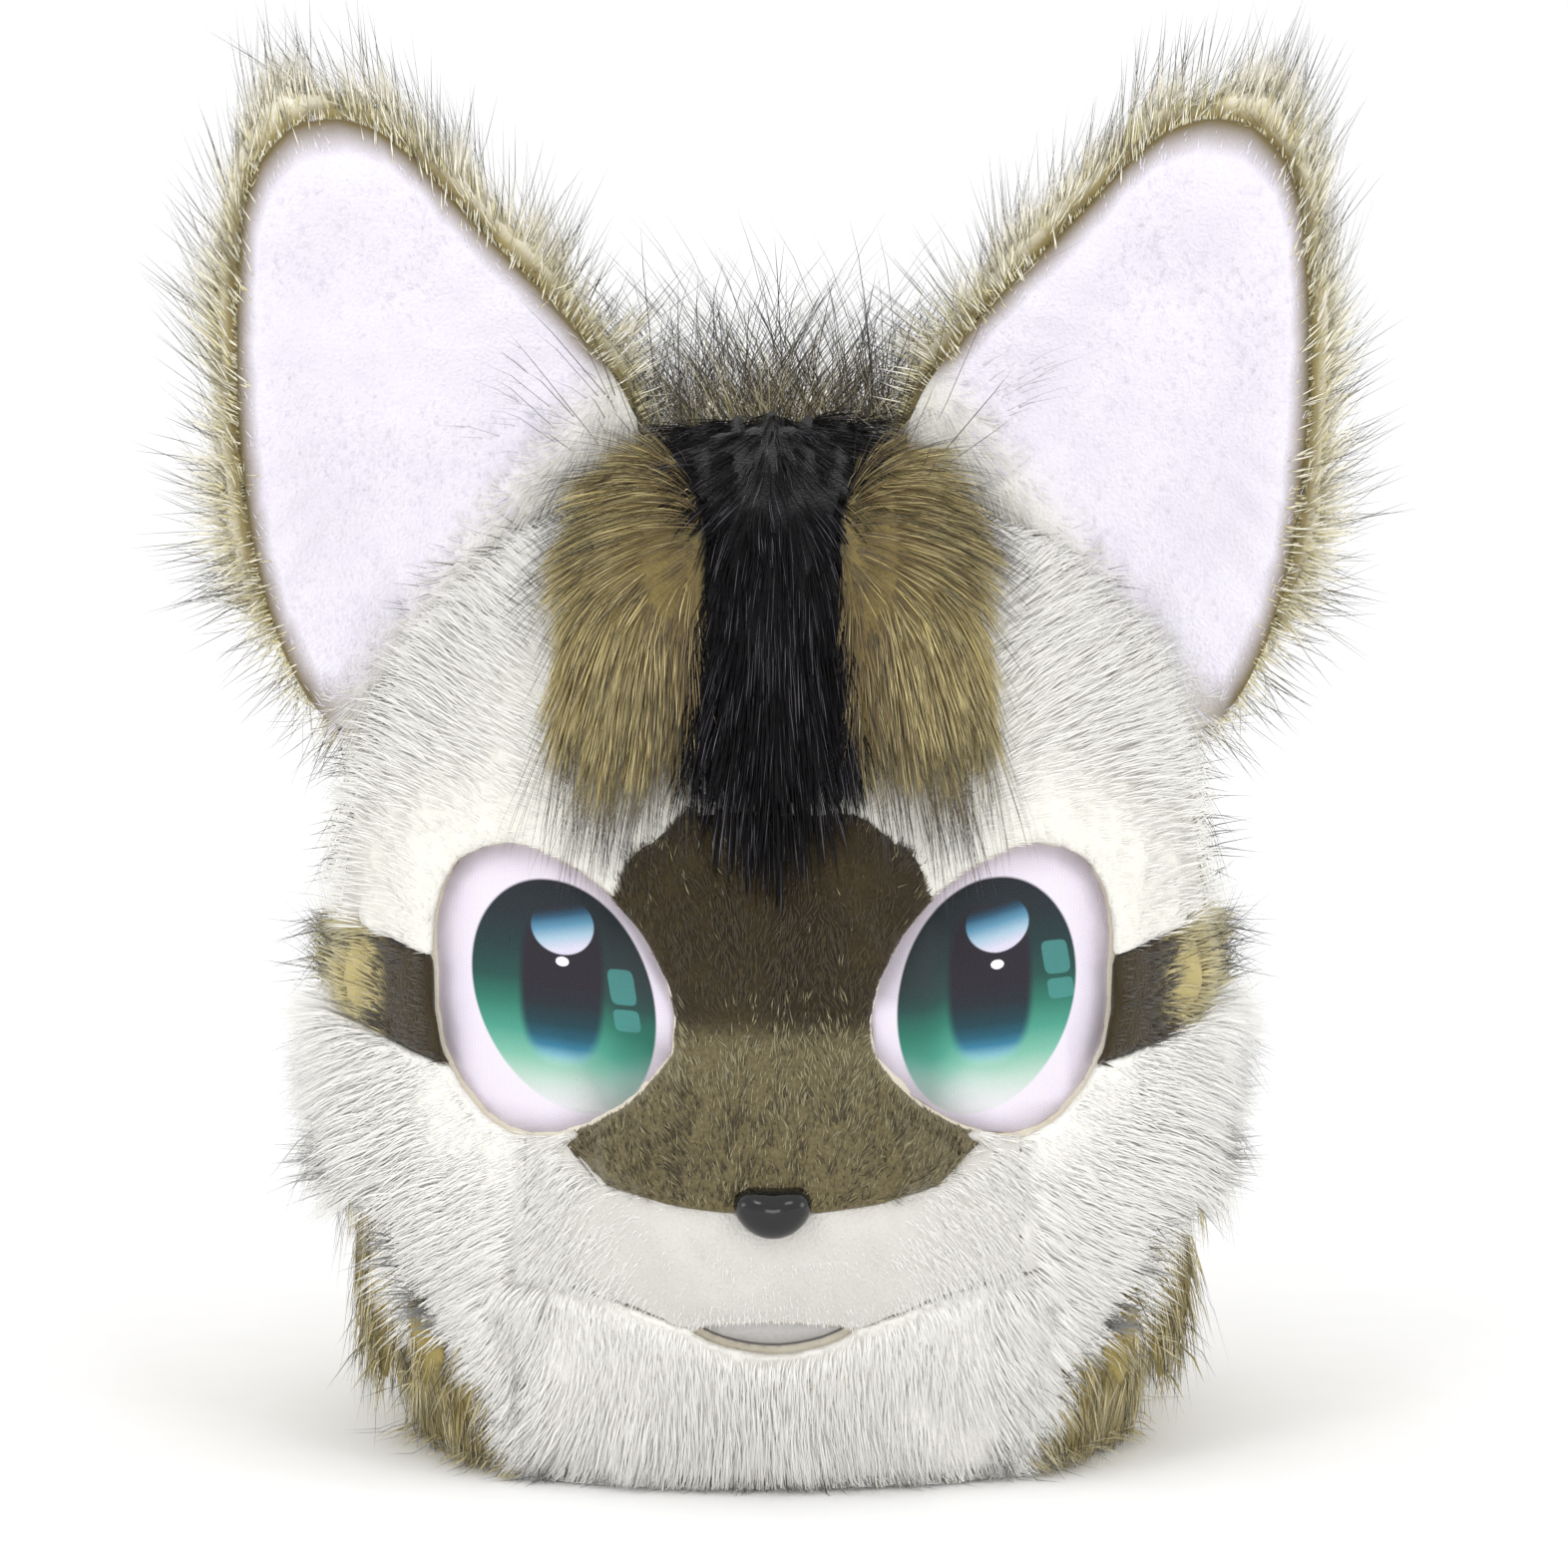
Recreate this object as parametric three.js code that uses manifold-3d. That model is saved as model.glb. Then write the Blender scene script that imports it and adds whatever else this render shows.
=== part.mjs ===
// Fursuit head: a hollow padded head with fur skins, ears, forelock, mesh eyes, nose and mouth.
// Millimetres, +Z up. The face looks towards -Y, and the head stands on its neck rim at Z = 0.
import * as THREE from 'three';
import { mergeVertices } from 'three/addons/utils/BufferGeometryUtils.js';
import Module from 'manifold-3d';

const wasm = await Module();
wasm.setup();

// Padded head base
const foamTall = 292;
const foamHalfWide = 124;
const foamFront = 106;
const foamBack = 122;
const foamThick = 14;
const cornerPower = 2.4;
const cutPast = 12;
const seatGap = 0.4;

// Muzzle that swells out of the front
const muzzleReach = 46;
const muzzleSpread = 60;
const muzzleUp = 86;
const muzzleRise = 66;
const muzzleFall = 46;
const muzzleRound = 2.5;

// Fur layers over the base
const longBack = 6;
const shortPile = 5;
const hemUp = 4;
const pieceGap = 0.5;
const frontFurDepth = 32;

// Line where the face fur meets the back fur: it leans down from the crown to the stripe, and curves
// forwards under the cheek to the hem
const splitCrown = -8;
const splitCheek = 12;
const splitBend = 120;
const splitHem = -80;
const splitSteps = 5;

// Eyes
const eyeWide = 71;
const eyeTall = 84;
const eyeOut = 65;
const eyeUp = 152;
const eyeMeshThick = 1.5;
const eyeRecess = 1;
const eyeRoomGap = 1.2;
const eyeCutDepth = 21;

// Bridge patch, from brow to nose
const patchHalfWide = 61;
const patchTall = 109;
const patchFoot = 96;

// Muzzle pile and jaw fur outlines
const lipHalfWide = 74;
const lipUp = 57;
const lipLift = 10;
const muzzleTop = 118;
const jawHalfWide = 82;

// Cheek stripe
const stripeUp = 144;
const stripeTall = 31;
const stripeInnerOut = 90;
const stripeRise = 3;

// Nose
const noseHalfWide = 11.5;
const noseTall = 15.5;
const noseUp = 96.5;
const noseDeep = 9;
const noseEdge = 0.2;

// Mouth
const mouthHalfWide = 24.5;
const mouthTall = 11;
const mouthUp = 57;
const mouthSet = 3;
const mouthThick = 1.6;
const mouthSag = 0.68;
const mouthCutDepth = 53;

// Ears
const earWide = 118;
const earTall = 186;
const earOut = 99;
const earUp = 308;
const earRim = 8;
const earShell = 11;
const earHollow = 17;
const earBulge = 20;
const earPlush = 4;
const earPlushEdge = 2;
const earRoot = 20;
const earForward = 12;
const earLean = 0.06;

// Head locks at their largest
const lockLong = 60;
const lockLift = 18;
const lockHalfWide = 27;
const lockThick = 10;

// Locks: how far the root sinks, how the tip curls out, and how neighbours differ
const lockSink = 0.4;
const lockCurl = 1.4;
const lockWave = 0.37;
const lockRipple = 0.12;
const lockTurn = 0.05;

// Locks round an ear's rim
const rimLockLong = 27;
const rimLockHalfWide = 9;
const rimLockThick = 6;
const rimLockRoot = 6;
const rimLockFall = 5;

// Forelock
const forelockPuff = 13;
const forelockHalfWide = 65;
const forelockLockHalfWide = 13;
const forelockLockThick = 8;
const forelockHub = 188;
const forelockRoot = 0.15;
const forelockTip = 0.9;
const partHalf = 19;
const partFlare = 12;

// Head sections from the neck rim to the crown, as shares of the foam sizes
const headRows = [
  { up: 0.0, wide: 0.82, front: 0.86, back: 0.9 },
  { up: 0.08, wide: 0.88, front: 0.91, back: 0.94 },
  { up: 0.18, wide: 0.93, front: 0.96, back: 0.97 },
  { up: 0.3, wide: 0.985, front: 1.0, back: 1.0 },
  { up: 0.42, wide: 1.0, front: 1.0, back: 1.0 },
  { up: 0.54, wide: 1.0, front: 0.985, back: 0.99 },
  { up: 0.66, wide: 0.965, front: 0.93, back: 0.955 },
  { up: 0.76, wide: 0.9, front: 0.85, back: 0.88 },
  { up: 0.85, wide: 0.78, front: 0.72, back: 0.76 },
  { up: 0.92, wide: 0.6, front: 0.56, back: 0.6 },
  { up: 0.965, wide: 0.41, front: 0.39, back: 0.42 },
  { up: 0.99, wide: 0.22, front: 0.21, back: 0.23 },
  { up: 1.0, wide: 0.0, front: 0.0, back: 0.0 },
];
const headLevels = [0, 0.1, 0.19, 0.26, 0.33, 0.41, 0.51, 0.62, 0.73, 0.83, 0.91, 0.96, 0.99];
const halfTurns = [0, 5, 11, 19, 29, 41, 55, 72, 90, 112, 135, 158, 180];

// Eye outline, across towards the nose and up, as shares of the eye's width and height
const eyeRows = [
  { across: -0.19, up: 0.5 },
  { across: -0.4, up: 0.42 },
  { across: -0.494, up: 0.222 },
  { across: -0.494, up: 0.017 },
  { across: -0.464, up: -0.243 },
  { across: -0.278, up: -0.455 },
  { across: -0.089, up: -0.5 },
  { across: 0.152, up: -0.424 },
  { across: 0.489, up: -0.163 },
  { across: 0.468, up: 0.08 },
  { across: 0.24, up: 0.344 },
  { across: 0.004, up: 0.462 },
];

// Right half of the patch outline from the brow down, as shares of its half width and height
const patchRows = [
  { out: 0.42, up: 1.0 },
  { out: 0.7, up: 0.88 },
  { out: 0.75, up: 0.775 },
  { out: 0.56, up: 0.61 },
  { out: 0.5, up: 0.415 },
  { out: 0.62, up: 0.325 },
  { out: 1.0, up: 0.125 },
  { out: 0.8, up: 0.035 },
  { out: 0.5, up: 0.01 },
  { out: 0.18, up: 0.0 },
];

// Right half of the nose from the top middle, as shares of its half width and height
const noseRows = [
  { out: 0.0, up: 0.46 },
  { out: 0.5, up: 0.48 },
  { out: 0.86, up: 0.38 },
  { out: 1.0, up: 0.14 },
  { out: 0.86, up: -0.14 },
  { out: 0.5, up: -0.4 },
  { out: 0.0, up: -0.5 },
];

// Ear outline from the inner foot over the tip, as shares of the ear's width and height
const earRows = [
  { across: -0.5, up: -0.02 },
  { across: -0.4, up: 0.09 },
  { across: -0.24, up: 0.21 },
  { across: -0.05, up: 0.33 },
  { across: 0.11, up: 0.44 },
  { across: 0.25, up: 0.5 },
  { across: 0.37, up: 0.495 },
  { across: 0.46, up: 0.42 },
  { across: 0.49, up: 0.29 },
  { across: 0.5, up: 0.12 },
  { across: 0.485, up: -0.06 },
  { across: 0.45, up: -0.22 },
  { across: 0.38, up: -0.38 },
  { across: 0.22, up: -0.52 },
  { across: -0.08, up: -0.45 },
  { across: -0.38, up: -0.22 },
];
const dishRings = [0.45, 0.9, 1.0];

// Lock rows on the head: height share, angles from the face, count a side, and sizes as shares of
// the largest lock's
const backLocks = [
  { up: 0.2, from: 110, to: 180, count: 3, drop: 0.8, lift: 0.944, wide: 1.148, thick: 1 },
  { up: 0.37, from: 107, to: 180, count: 3, drop: 0.933, lift: 1, wide: 1.185, thick: 1 },
  { up: 0.54, from: 107, to: 180, count: 3, drop: 0.967, lift: 1, wide: 1.148, thick: 1 },
  { up: 0.71, from: 110, to: 180, count: 3, drop: 1, lift: 0.944, wide: 1.037, thick: 1 },
  { up: 0.86, from: 116, to: 180, count: 3, drop: 0.933, lift: 0.833, wide: 0.852, thick: 0.9 },
  { up: 0.96, from: 124, to: 180, count: 2, drop: 0.767, lift: 0.722, wide: 0.741, thick: 0.7 },
];
const faceLocks = [
  { up: 0.24, from: 58, to: 94, count: 3, drop: 0.8, lift: 0.889, wide: 0.63, thick: 0.7 },
  { up: 0.41, from: 60, to: 92, count: 3, drop: 0.733, lift: 0.889, wide: 0.593, thick: 0.7 },
  { up: 0.62, from: 68, to: 90, count: 2, drop: 0.6, lift: 0.722, wide: 0.519, thick: 0.6 },
  { up: 0.74, from: 50, to: 84, count: 3, drop: 0.633, lift: 0.611, wide: 0.556, thick: 0.6 },
];
const jawLocks = [
  { up: 0.12, from: 0, to: 54, count: 4, drop: 0.467, lift: 0.722, wide: 0.593, thick: 0.8 },
  { up: 0.165, from: 16, to: 54, count: 2, drop: 0.5, lift: 0.611, wide: 0.556, thick: 0.7 },
];
const stripeLocks = [
  { up: 0.545, from: 74, to: 92, count: 2, drop: 0.367, lift: 0.778, wide: 0.37, thick: 0.5 },
  { up: 0.5, from: 70, to: 92, count: 3, drop: 0.3, lift: 0.722, wide: 0.333, thick: 0.5 },
];

// Forelock locks: places across as shares of its half width, turn over the brow in degrees, and sizes
// as shares of the largest lock's
const blackLocks = [
  { from: 0, to: 0, start: 97, end: 1, wide: 1, thick: 1, puff: 1.0 },
  { from: 0.154, to: 0.169, start: 96, end: 5, wide: 0.846, thick: 0.875, puff: 0.95 },
  { from: 0.308, to: 0.323, start: 94, end: 13, wide: 0.769, thick: 0.875, puff: 0.9 },
];
const tanLocks = [
  { from: 0.369, to: 0.415, start: 86, end: 15, wide: 0.692, thick: 0.875, puff: 0.95 },
  { from: 0.508, to: 0.615, start: 82, end: 9, wide: 0.846, thick: 1, puff: 1.0 },
  { from: 0.646, to: 0.815, start: 76, end: 8, wide: 0.846, thick: 1, puff: 0.9 },
  { from: 0.769, to: 1, start: 68, end: 18, wide: 0.692, thick: 0.875, puff: 0.8 },
];

// Half width of the forelock's black middle: height as a share of the head, and its flare
const partRows = [
  { up: 0.42, flare: 1.2 },
  { up: 0.7, flare: 0.9 },
  { up: 0.84, flare: 0.25 },
  { up: 0.94, flare: 0.0 },
  { up: 1.01, flare: 0.1 },
  { up: 1.05, flare: 2.0 },
  { up: 1.2, flare: 2.0 },
];

// Ear rim locks: shares of the outline from the inner foot, their count, and how they sweep to the tip
const rimLocks = { from: 0.03, to: 0.7, count: 10, sweep: 0.62 };

function mix(a, b, t) {
  return a + (b - a) * t;
}

// One column of a table, carried smoothly between its rows
function columnAt(rows, column, up) {
  const last = rows.length - 1;
  if (up <= rows[0].up) {
    return rows[0][column];
  }
  if (up >= rows[last].up) {
    return rows[last][column];
  }
  const i = rows.findIndex((row, k) => k < last && up < rows[k + 1].up);
  const t = (up - rows[i].up) / (rows[i + 1].up - rows[i].up);
  const slopeAt = (k) => {
    const a = rows[Math.max(0, k - 1)];
    const b = rows[Math.min(last, k + 1)];
    return (b[column] - a[column]) / (b.up - a.up);
  };
  const span = rows[i + 1].up - rows[i].up;
  const h = t * t * (3 - 2 * t);
  const value = mix(rows[i][column], rows[i + 1][column], h);
  const tail = last - 1;
  if (i >= tail) {
    return mix(rows[i][column], rows[i + 1][column], Math.sqrt(t));
  }
  const bend = (t * (1 - t) * (1 - t) * slopeAt(i) - t * t * (1 - t) * slopeAt(i + 1)) * span;
  return value + bend;
}

// Forward swell of the muzzle at a place on the front
function muzzleSwell(x, z) {
  const across = Math.abs(x / muzzleSpread) ** muzzleRound;
  const side = z > muzzleUp ? muzzleRise : muzzleFall;
  const along = Math.abs((z - muzzleUp) / side) ** muzzleRound;
  return muzzleReach * Math.exp(-across - along);
}

// Half widths of the head at one height, with the surface moved out by a layer
function sectionAt(z, out) {
  const up = z / (foamTall + out);
  return {
    wide: (foamHalfWide + out) * columnAt(headRows, 'wide', up),
    front: (foamFront + out) * columnAt(headRows, 'front', up),
    back: (foamBack + out) * columnAt(headRows, 'back', up),
  };
}

// A place on the head, by its angle from the face, its height share and its layer
function headPoint(angle, up, out) {
  const z = (foamTall + out) * up;
  const section = sectionAt(Math.max(z, 0), out);
  const s = Math.sin(angle);
  const c = Math.cos(angle);
  const x = section.wide * Math.sign(s) * Math.abs(s) ** (2 / cornerPower);
  const reach = Math.abs(c) ** (2 / cornerPower);
  const y = c > 0 ? -section.front * reach - muzzleSwell(x, z) : section.back * reach;
  return new THREE.Vector3(x, y, z);
}

// True inside the head form of one layer
function insideHead(p, out) {
  if (p.z >= foamTall + out) {
    return false;
  }
  const section = sectionAt(p.z, out);
  const y = p.y < 0 ? Math.min(0, p.y + muzzleSwell(p.x, p.z)) : p.y;
  const deep = y < 0 ? section.front : section.back;
  const a = (Math.abs(p.x) / section.wide) ** cornerPower;
  const b = (Math.abs(y) / deep) ** cornerPower;
  return a + b < 1;
}

// Where a ray from inside leaves the head form of one layer
function leaveHead(from, toward, out) {
  let near = 0;
  let far = 2 * foamTall;
  for (let step = 0; step < 40; step += 1) {
    const middle = (near + far) / 2;
    const p = from.clone().addScaledVector(toward, middle);
    if (insideHead(p, out)) {
      near = middle;
    } else {
      far = middle;
    }
  }
  return from.clone().addScaledVector(toward, near);
}

// A closed body through rings of points, with a fan or a point at each end
function ringBody(rings, startPoint, endPoint) {
  const count = rings[0].length;
  const points = [startPoint, ...rings.flat(), endPoint];
  const index = [];
  for (let k = 0; k < count; k += 1) {
    const next = (k + 1) % count;
    index.push(0, 1 + next, 1 + k);
    for (let r = 0; r + 1 < rings.length; r += 1) {
      const a = 1 + r * count;
      const b = a + count;
      index.push(a + k, a + next, b + k);
      index.push(a + next, b + next, b + k);
    }
    const tail = 1 + (rings.length - 1) * count;
    index.push(tail + k, tail + next, points.length - 1);
  }
  const geometry = new THREE.BufferGeometry().setFromPoints(points);
  geometry.setIndex(index);
  return geometry;
}

function middleOf(ring) {
  const sum = ring.reduce((total, p) => total.add(p), new THREE.Vector3());
  return sum.multiplyScalar(1 / ring.length);
}

// A geometry as a solid to join and cut, turned outwards where its rings run the other way
function solid(geometry) {
  const bare = geometry.clone();
  bare.deleteAttribute('normal');
  bare.deleteAttribute('uv');
  const merged = mergeVertices(bare, 1e-4);
  const spots = Float32Array.from(merged.attributes.position.array);
  const corners = Uint32Array.from(merged.index.array);
  const at = (k) => new THREE.Vector3(spots[3 * k], spots[3 * k + 1], spots[3 * k + 2]);
  let volume = 0;
  for (let k = 0; k < corners.length; k += 3) {
    volume += at(corners[k]).dot(at(corners[k + 1]).cross(at(corners[k + 2])));
  }
  if (volume < 0) {
    for (let k = 0; k < corners.length; k += 3) {
      [corners[k], corners[k + 1]] = [corners[k + 1], corners[k]];
    }
  }
  return new wasm.Manifold(new wasm.Mesh({ numProp: 3, vertProperties: spots, triVerts: corners }));
}

function joined(solids) {
  return solids.reduce((sum, one) => sum.add(one));
}

// The largest piece of a solid, without the crumbs that a cut leaves
function mainPiece(whole) {
  const parts = whole.decompose();
  return parts.reduce((best, one) => (one.volume() > best.volume() ? one : best));
}

// The head form of one layer, down to a given height
function headForm(out, foot) {
  const rings = [];
  const turns = [...halfTurns, ...halfTurns.slice(1, -1).reverse().map((turn) => -turn)];
  const angles = turns.map((turn) => THREE.MathUtils.degToRad(turn));
  if (foot < 0) {
    rings.push(angles.map((angle) => headPoint(angle, 0, out).setZ(foot)));
  }
  headLevels.forEach((up) => rings.push(angles.map((angle) => headPoint(angle, up, out))));
  const crown = new THREE.Vector3(0, 0, foamTall + out);
  return solid(ringBody(rings, middleOf(rings[0]), crown));
}

// A shell between two layers of the head form
function headShell(inner, outer) {
  return headForm(outer, 0).subtract(headForm(inner, -cutPast));
}

// A prism along Y through a front-view outline
function frontPrism(outline, nearY, farY) {
  const shape = new THREE.Shape(outline);
  const geometry = new THREE.ExtrudeGeometry(shape, { depth: farY - nearY, bevelEnabled: false });
  geometry.rotateX(Math.PI / 2);
  geometry.translate(0, farY, 0);
  return solid(geometry);
}

// A front-view outline moved outwards by a distance
function grow(outline, distance) {
  const sign = THREE.ShapeUtils.isClockWise(outline) ? -1 : 1;
  return outline.map((p, k) => {
    const before = outline[(k + outline.length - 1) % outline.length];
    const after = outline[(k + 1) % outline.length];
    const along = after.clone().sub(before).normalize();
    return new THREE.Vector2(p.x + sign * along.y * distance, p.y - sign * along.x * distance);
  });
}

// A smooth closed outline through a few points
function smoothOutline(points, count) {
  const spots = points.map((p) => new THREE.Vector3(p.x, p.y, 0));
  const curve = new THREE.CatmullRomCurve3(spots, true, 'centripetal');
  return curve.getPoints(count).slice(0, count).map((p) => new THREE.Vector2(p.x, p.y));
}

const frontEnd = -(foamFront + muzzleReach + cutPast * 3);
const sideReach = foamHalfWide * 2;
const topReach = foamTall * 2;

function eyeOutline(side) {
  const points = eyeRows.map((row) => new THREE.Vector2(
    side * (eyeOut - row.across * eyeWide),
    eyeUp + row.up * eyeTall,
  ));
  return smoothOutline(points, 24);
}

function mirroredOutline(half) {
  const left = half.map((p) => new THREE.Vector2(-p.x, p.y)).reverse();
  return [...half, ...left];
}

function patchOutline() {
  const half = patchRows.map((row) => new THREE.Vector2(
    row.out * patchHalfWide,
    patchFoot + row.up * patchTall,
  ));
  return mirroredOutline(half);
}

function mouthOutline() {
  const half = 5;
  const points = [];
  for (let k = -half; k <= half; k += 1) {
    const share = k / half;
    const low = mouthUp - mouthSag * mouthTall * (1 - share * share);
    points.push(new THREE.Vector2(share * mouthHalfWide, low));
  }
  for (let k = half - 1; k > -half; k -= 1) {
    const share = k / half;
    const high = mouthUp + (1 - mouthSag) * mouthTall * (1 - share * share);
    points.push(new THREE.Vector2(share * mouthHalfWide, high));
  }
  return points;
}

// Height of the lip line at a place across the muzzle
function lipLine(x) {
  const share = Math.min(1, Math.max(0, (Math.abs(x) - mouthHalfWide) / (lipHalfWide - mouthHalfWide)));
  return lipUp + lipLift * share * (2 - share);
}

function muzzleOutline(inset) {
  const wide = lipHalfWide - inset;
  const steps = [-1, -0.8, -0.6, -0.33, 0, 0.33, 0.6, 0.8, 1];
  const low = steps.map((share) => new THREE.Vector2(share * wide, lipLine(share * wide) + inset));
  return [...low, new THREE.Vector2(wide, muzzleTop - inset), new THREE.Vector2(-wide, muzzleTop - inset)];
}

function jawOutline(inset) {
  const wide = jawHalfWide - inset;
  const steps = [1, 0.8, 0.6, 0.33, 0, -0.33, -0.6, -0.8, -1];
  const high = steps.map((share) => new THREE.Vector2(share * wide, lipLine(share * wide) - inset));
  return [new THREE.Vector2(-wide * 0.8, -cutPast), new THREE.Vector2(wide * 0.8, -cutPast), ...high];
}

function stripeOutline(side, inset) {
  const half = stripeTall / 2 - inset;
  const far = sideReach;
  return [
    new THREE.Vector2(side * stripeInnerOut, stripeUp - half - stripeRise),
    new THREE.Vector2(side * foamHalfWide, stripeUp - half + stripeRise),
    new THREE.Vector2(side * far, stripeUp - half + stripeRise),
    new THREE.Vector2(side * far, stripeUp + half + stripeRise),
    new THREE.Vector2(side * foamHalfWide, stripeUp + half + stripeRise),
    new THREE.Vector2(side * stripeInnerOut, stripeUp + half - stripeRise),
  ];
}

// Everything behind the line between face fur and back fur, moved by a gap
function behindSplit(gap) {
  const wide = sideReach;
  const far = foamBack * 2;
  const under = [];
  for (let k = 0; k <= splitSteps; k += 1) {
    const turn = (Math.PI / 2) * (k / splitSteps);
    const forward = (splitCheek - splitHem) * (1 - Math.sin(turn));
    under.push(new THREE.Vector2(splitHem + forward + gap, splitBend * Math.cos(turn)));
  }
  const shape = new THREE.Shape([
    ...under,
    new THREE.Vector2(splitHem + gap, -cutPast),
    new THREE.Vector2(far, -cutPast),
    new THREE.Vector2(far, topReach),
    new THREE.Vector2(splitCrown + gap, topReach),
    new THREE.Vector2(splitCrown + gap, foamTall),
  ]);
  const geometry = new THREE.ExtrudeGeometry(shape, { depth: 2 * wide, bevelEnabled: false });
  geometry.rotateX(Math.PI / 2);
  geometry.rotateZ(Math.PI / 2);
  geometry.translate(-wide, 0, 0);
  return solid(geometry);
}

function boxSolid(low, high) {
  const size = high.clone().sub(low);
  const geometry = new THREE.BoxGeometry(size.x, size.y, size.z);
  geometry.translate(...low.clone().addScaledVector(size, 0.5).toArray());
  return solid(geometry);
}

// One tapered lock: rings along a path, flat and wide in the middle, with a point at its tip.
// A lock grown by a gap is the room that its neighbours keep clear.
function lockBody(pathAt, wide, thick, extra = 0) {
  const sides = 3;
  const stations = [
    { t: 0.0, wide: 0.7, thick: 0.5 },
    { t: 0.5, wide: 1.1, thick: 1.0 },
  ];
  const rings = stations.map((station) => {
    const frame = pathAt(station.t);
    return Array.from({ length: sides }, (unused, k) => {
      const turn = (2 * Math.PI * k) / sides + Math.PI / 2;
      return frame.at.clone()
        .addScaledVector(frame.across, Math.cos(turn) * (wide * station.wide + 2 * extra))
        .addScaledVector(frame.outward, Math.sin(turn) * (thick * station.thick + 2 * extra));
    });
  });
  return solid(ringBody(rings, middleOf(rings[0]), pathAt(extra > 0 ? 1.06 : 1).at));
}

// Frame on the head surface: the place, the way across and the way out
function headFrame(angle, up, out) {
  const step = 0.01;
  const at = headPoint(angle, up, out);
  const across = headPoint(angle + step, up, out).sub(headPoint(angle - step, up, out)).normalize();
  const outward = headPoint(angle, up, out + 1).sub(headPoint(angle, up, out));
  outward.addScaledVector(across, -outward.dot(across)).normalize();
  return { at, across, outward };
}

// Locks of one table, on both sides of the head, each leaning a little as its neighbours do
function headLocks(rows, sides) {
  const locks = [];
  rows.forEach((row, level) => {
    sides.forEach((side) => {
      for (let k = 0; k < row.count; k += 1) {
        const stagger = level % 2 ? 0.5 : 0;
        const share = (k + stagger) / Math.max(1, row.count - 0.5);
        const degrees = mix(row.from, row.to, Math.min(1, share));
        if (side < 0 && (degrees < 1 || degrees > 179)) {
          continue;
        }
        const angle = side * THREE.MathUtils.degToRad(degrees);
        const ripple = Math.sin(degrees * lockWave + level * 2);
        const drop = row.drop * lockLong * (1 + lockRipple * ripple);
        const thick = row.thick * lockThick;
        const turn = side * lockTurn * Math.cos(degrees * lockWave + level);
        const path = (t) => headFrame(
          angle + turn * t,
          row.up - (drop * t) / foamTall,
          longBack - thick * lockSink + row.lift * lockLift * t ** lockCurl,
        );
        locks.push(lockBody(path, row.wide * lockHalfWide, thick));
      }
    });
  });
  return locks;
}

// Locks of the forelock: over the crown, down the brow, and out to the side
function forelockLocks(rows, sides, extra = 0) {
  const locks = [];
  rows.forEach((row) => {
    sides.forEach((side) => {
      if (side < 0 && row.from === 0) {
        return;
      }
      const spot = (t) => {
        const turn = THREE.MathUtils.degToRad(mix(row.start, row.end, t));
        const x = side * forelockHalfWide * mix(row.from, row.to, t * t);
        const hub = new THREE.Vector3(x, 0, forelockHub);
        const toward = new THREE.Vector3(0, -Math.cos(turn), Math.sin(turn));
        const rise = Math.sin(Math.PI * mix(forelockRoot, forelockTip, Math.min(1, t)));
        const puff = forelockPuff * row.puff * rise;
        const layer = longBack + seatGap + puff;
        return { at: leaveHead(hub, toward, layer), toward };
      };
      const path = (t) => {
        const here = spot(t);
        const ahead = spot(t + 0.02).at.sub(spot(t - 0.02).at).normalize();
        const across = new THREE.Vector3().crossVectors(ahead, here.toward).normalize();
        const outward = new THREE.Vector3().crossVectors(across, ahead).normalize();
        return { at: here.at, across, outward };
      };
      locks.push(longLock(path, row.wide * forelockLockHalfWide, row.thick * forelockLockThick, extra));
    });
  });
  return locks;
}

// A long lock with more rings, for hair that runs over a bend
function longLock(pathAt, wide, thick, extra) {
  const sides = 4;
  const stations = [
    { t: 0.0, wide: 0.7, thick: 0.7 },
    { t: 0.2, wide: 0.95, thick: 1.0 },
    { t: 0.42, wide: 1.0, thick: 1.0 },
    { t: 0.64, wide: 0.95, thick: 0.9 },
    { t: 0.84, wide: 0.65, thick: 0.6 },
  ];
  const rings = stations.map((station) => {
    const frame = pathAt(station.t);
    return Array.from({ length: sides }, (unused, k) => {
      const turn = (2 * Math.PI * k) / sides;
      return frame.at.clone()
        .addScaledVector(frame.across, Math.cos(turn) * (wide * station.wide + extra))
        .addScaledVector(frame.outward, Math.sin(turn) * (thick * station.thick + extra));
    });
  });
  return solid(ringBody(rings, middleOf(rings[0]), pathAt(extra > 0 ? 1.04 : 1).at));
}

// Ear outline in the front view, for the plush or for the whole shell
function earOutline(side, extra) {
  const points = earRows.map((row) => new THREE.Vector2(
    side * (earOut + row.across * earWide),
    earUp + row.up * earTall,
  ));
  return grow(smoothOutline(points, 24), extra);
}

// Depth of the ear's hollow front face at a ring share
function earFace(share, z) {
  return -earForward + earLean * (z - earUp) + earHollow * (1 - share * share);
}

// A dished body between a front face and a back face over one outline
function dishBody(outline, rings, frontOf, backOf) {
  const middle = new THREE.Vector2();
  outline.forEach((p) => middle.addScaledVector(p, 1 / outline.length));
  const ringOf = (share, depthOf) => outline.map((p) => {
    const spot = middle.clone().lerp(p, share);
    return new THREE.Vector3(spot.x, depthOf(share, spot.y), spot.y);
  });
  const front = rings.map((share) => ringOf(share, frontOf));
  const back = [...rings].reverse().map((share) => ringOf(share, backOf));
  const start = new THREE.Vector3(middle.x, frontOf(0, middle.y), middle.y);
  const end = new THREE.Vector3(middle.x, backOf(0, middle.y), middle.y);
  return solid(ringBody([...front, ...back], start, end));
}

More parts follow.
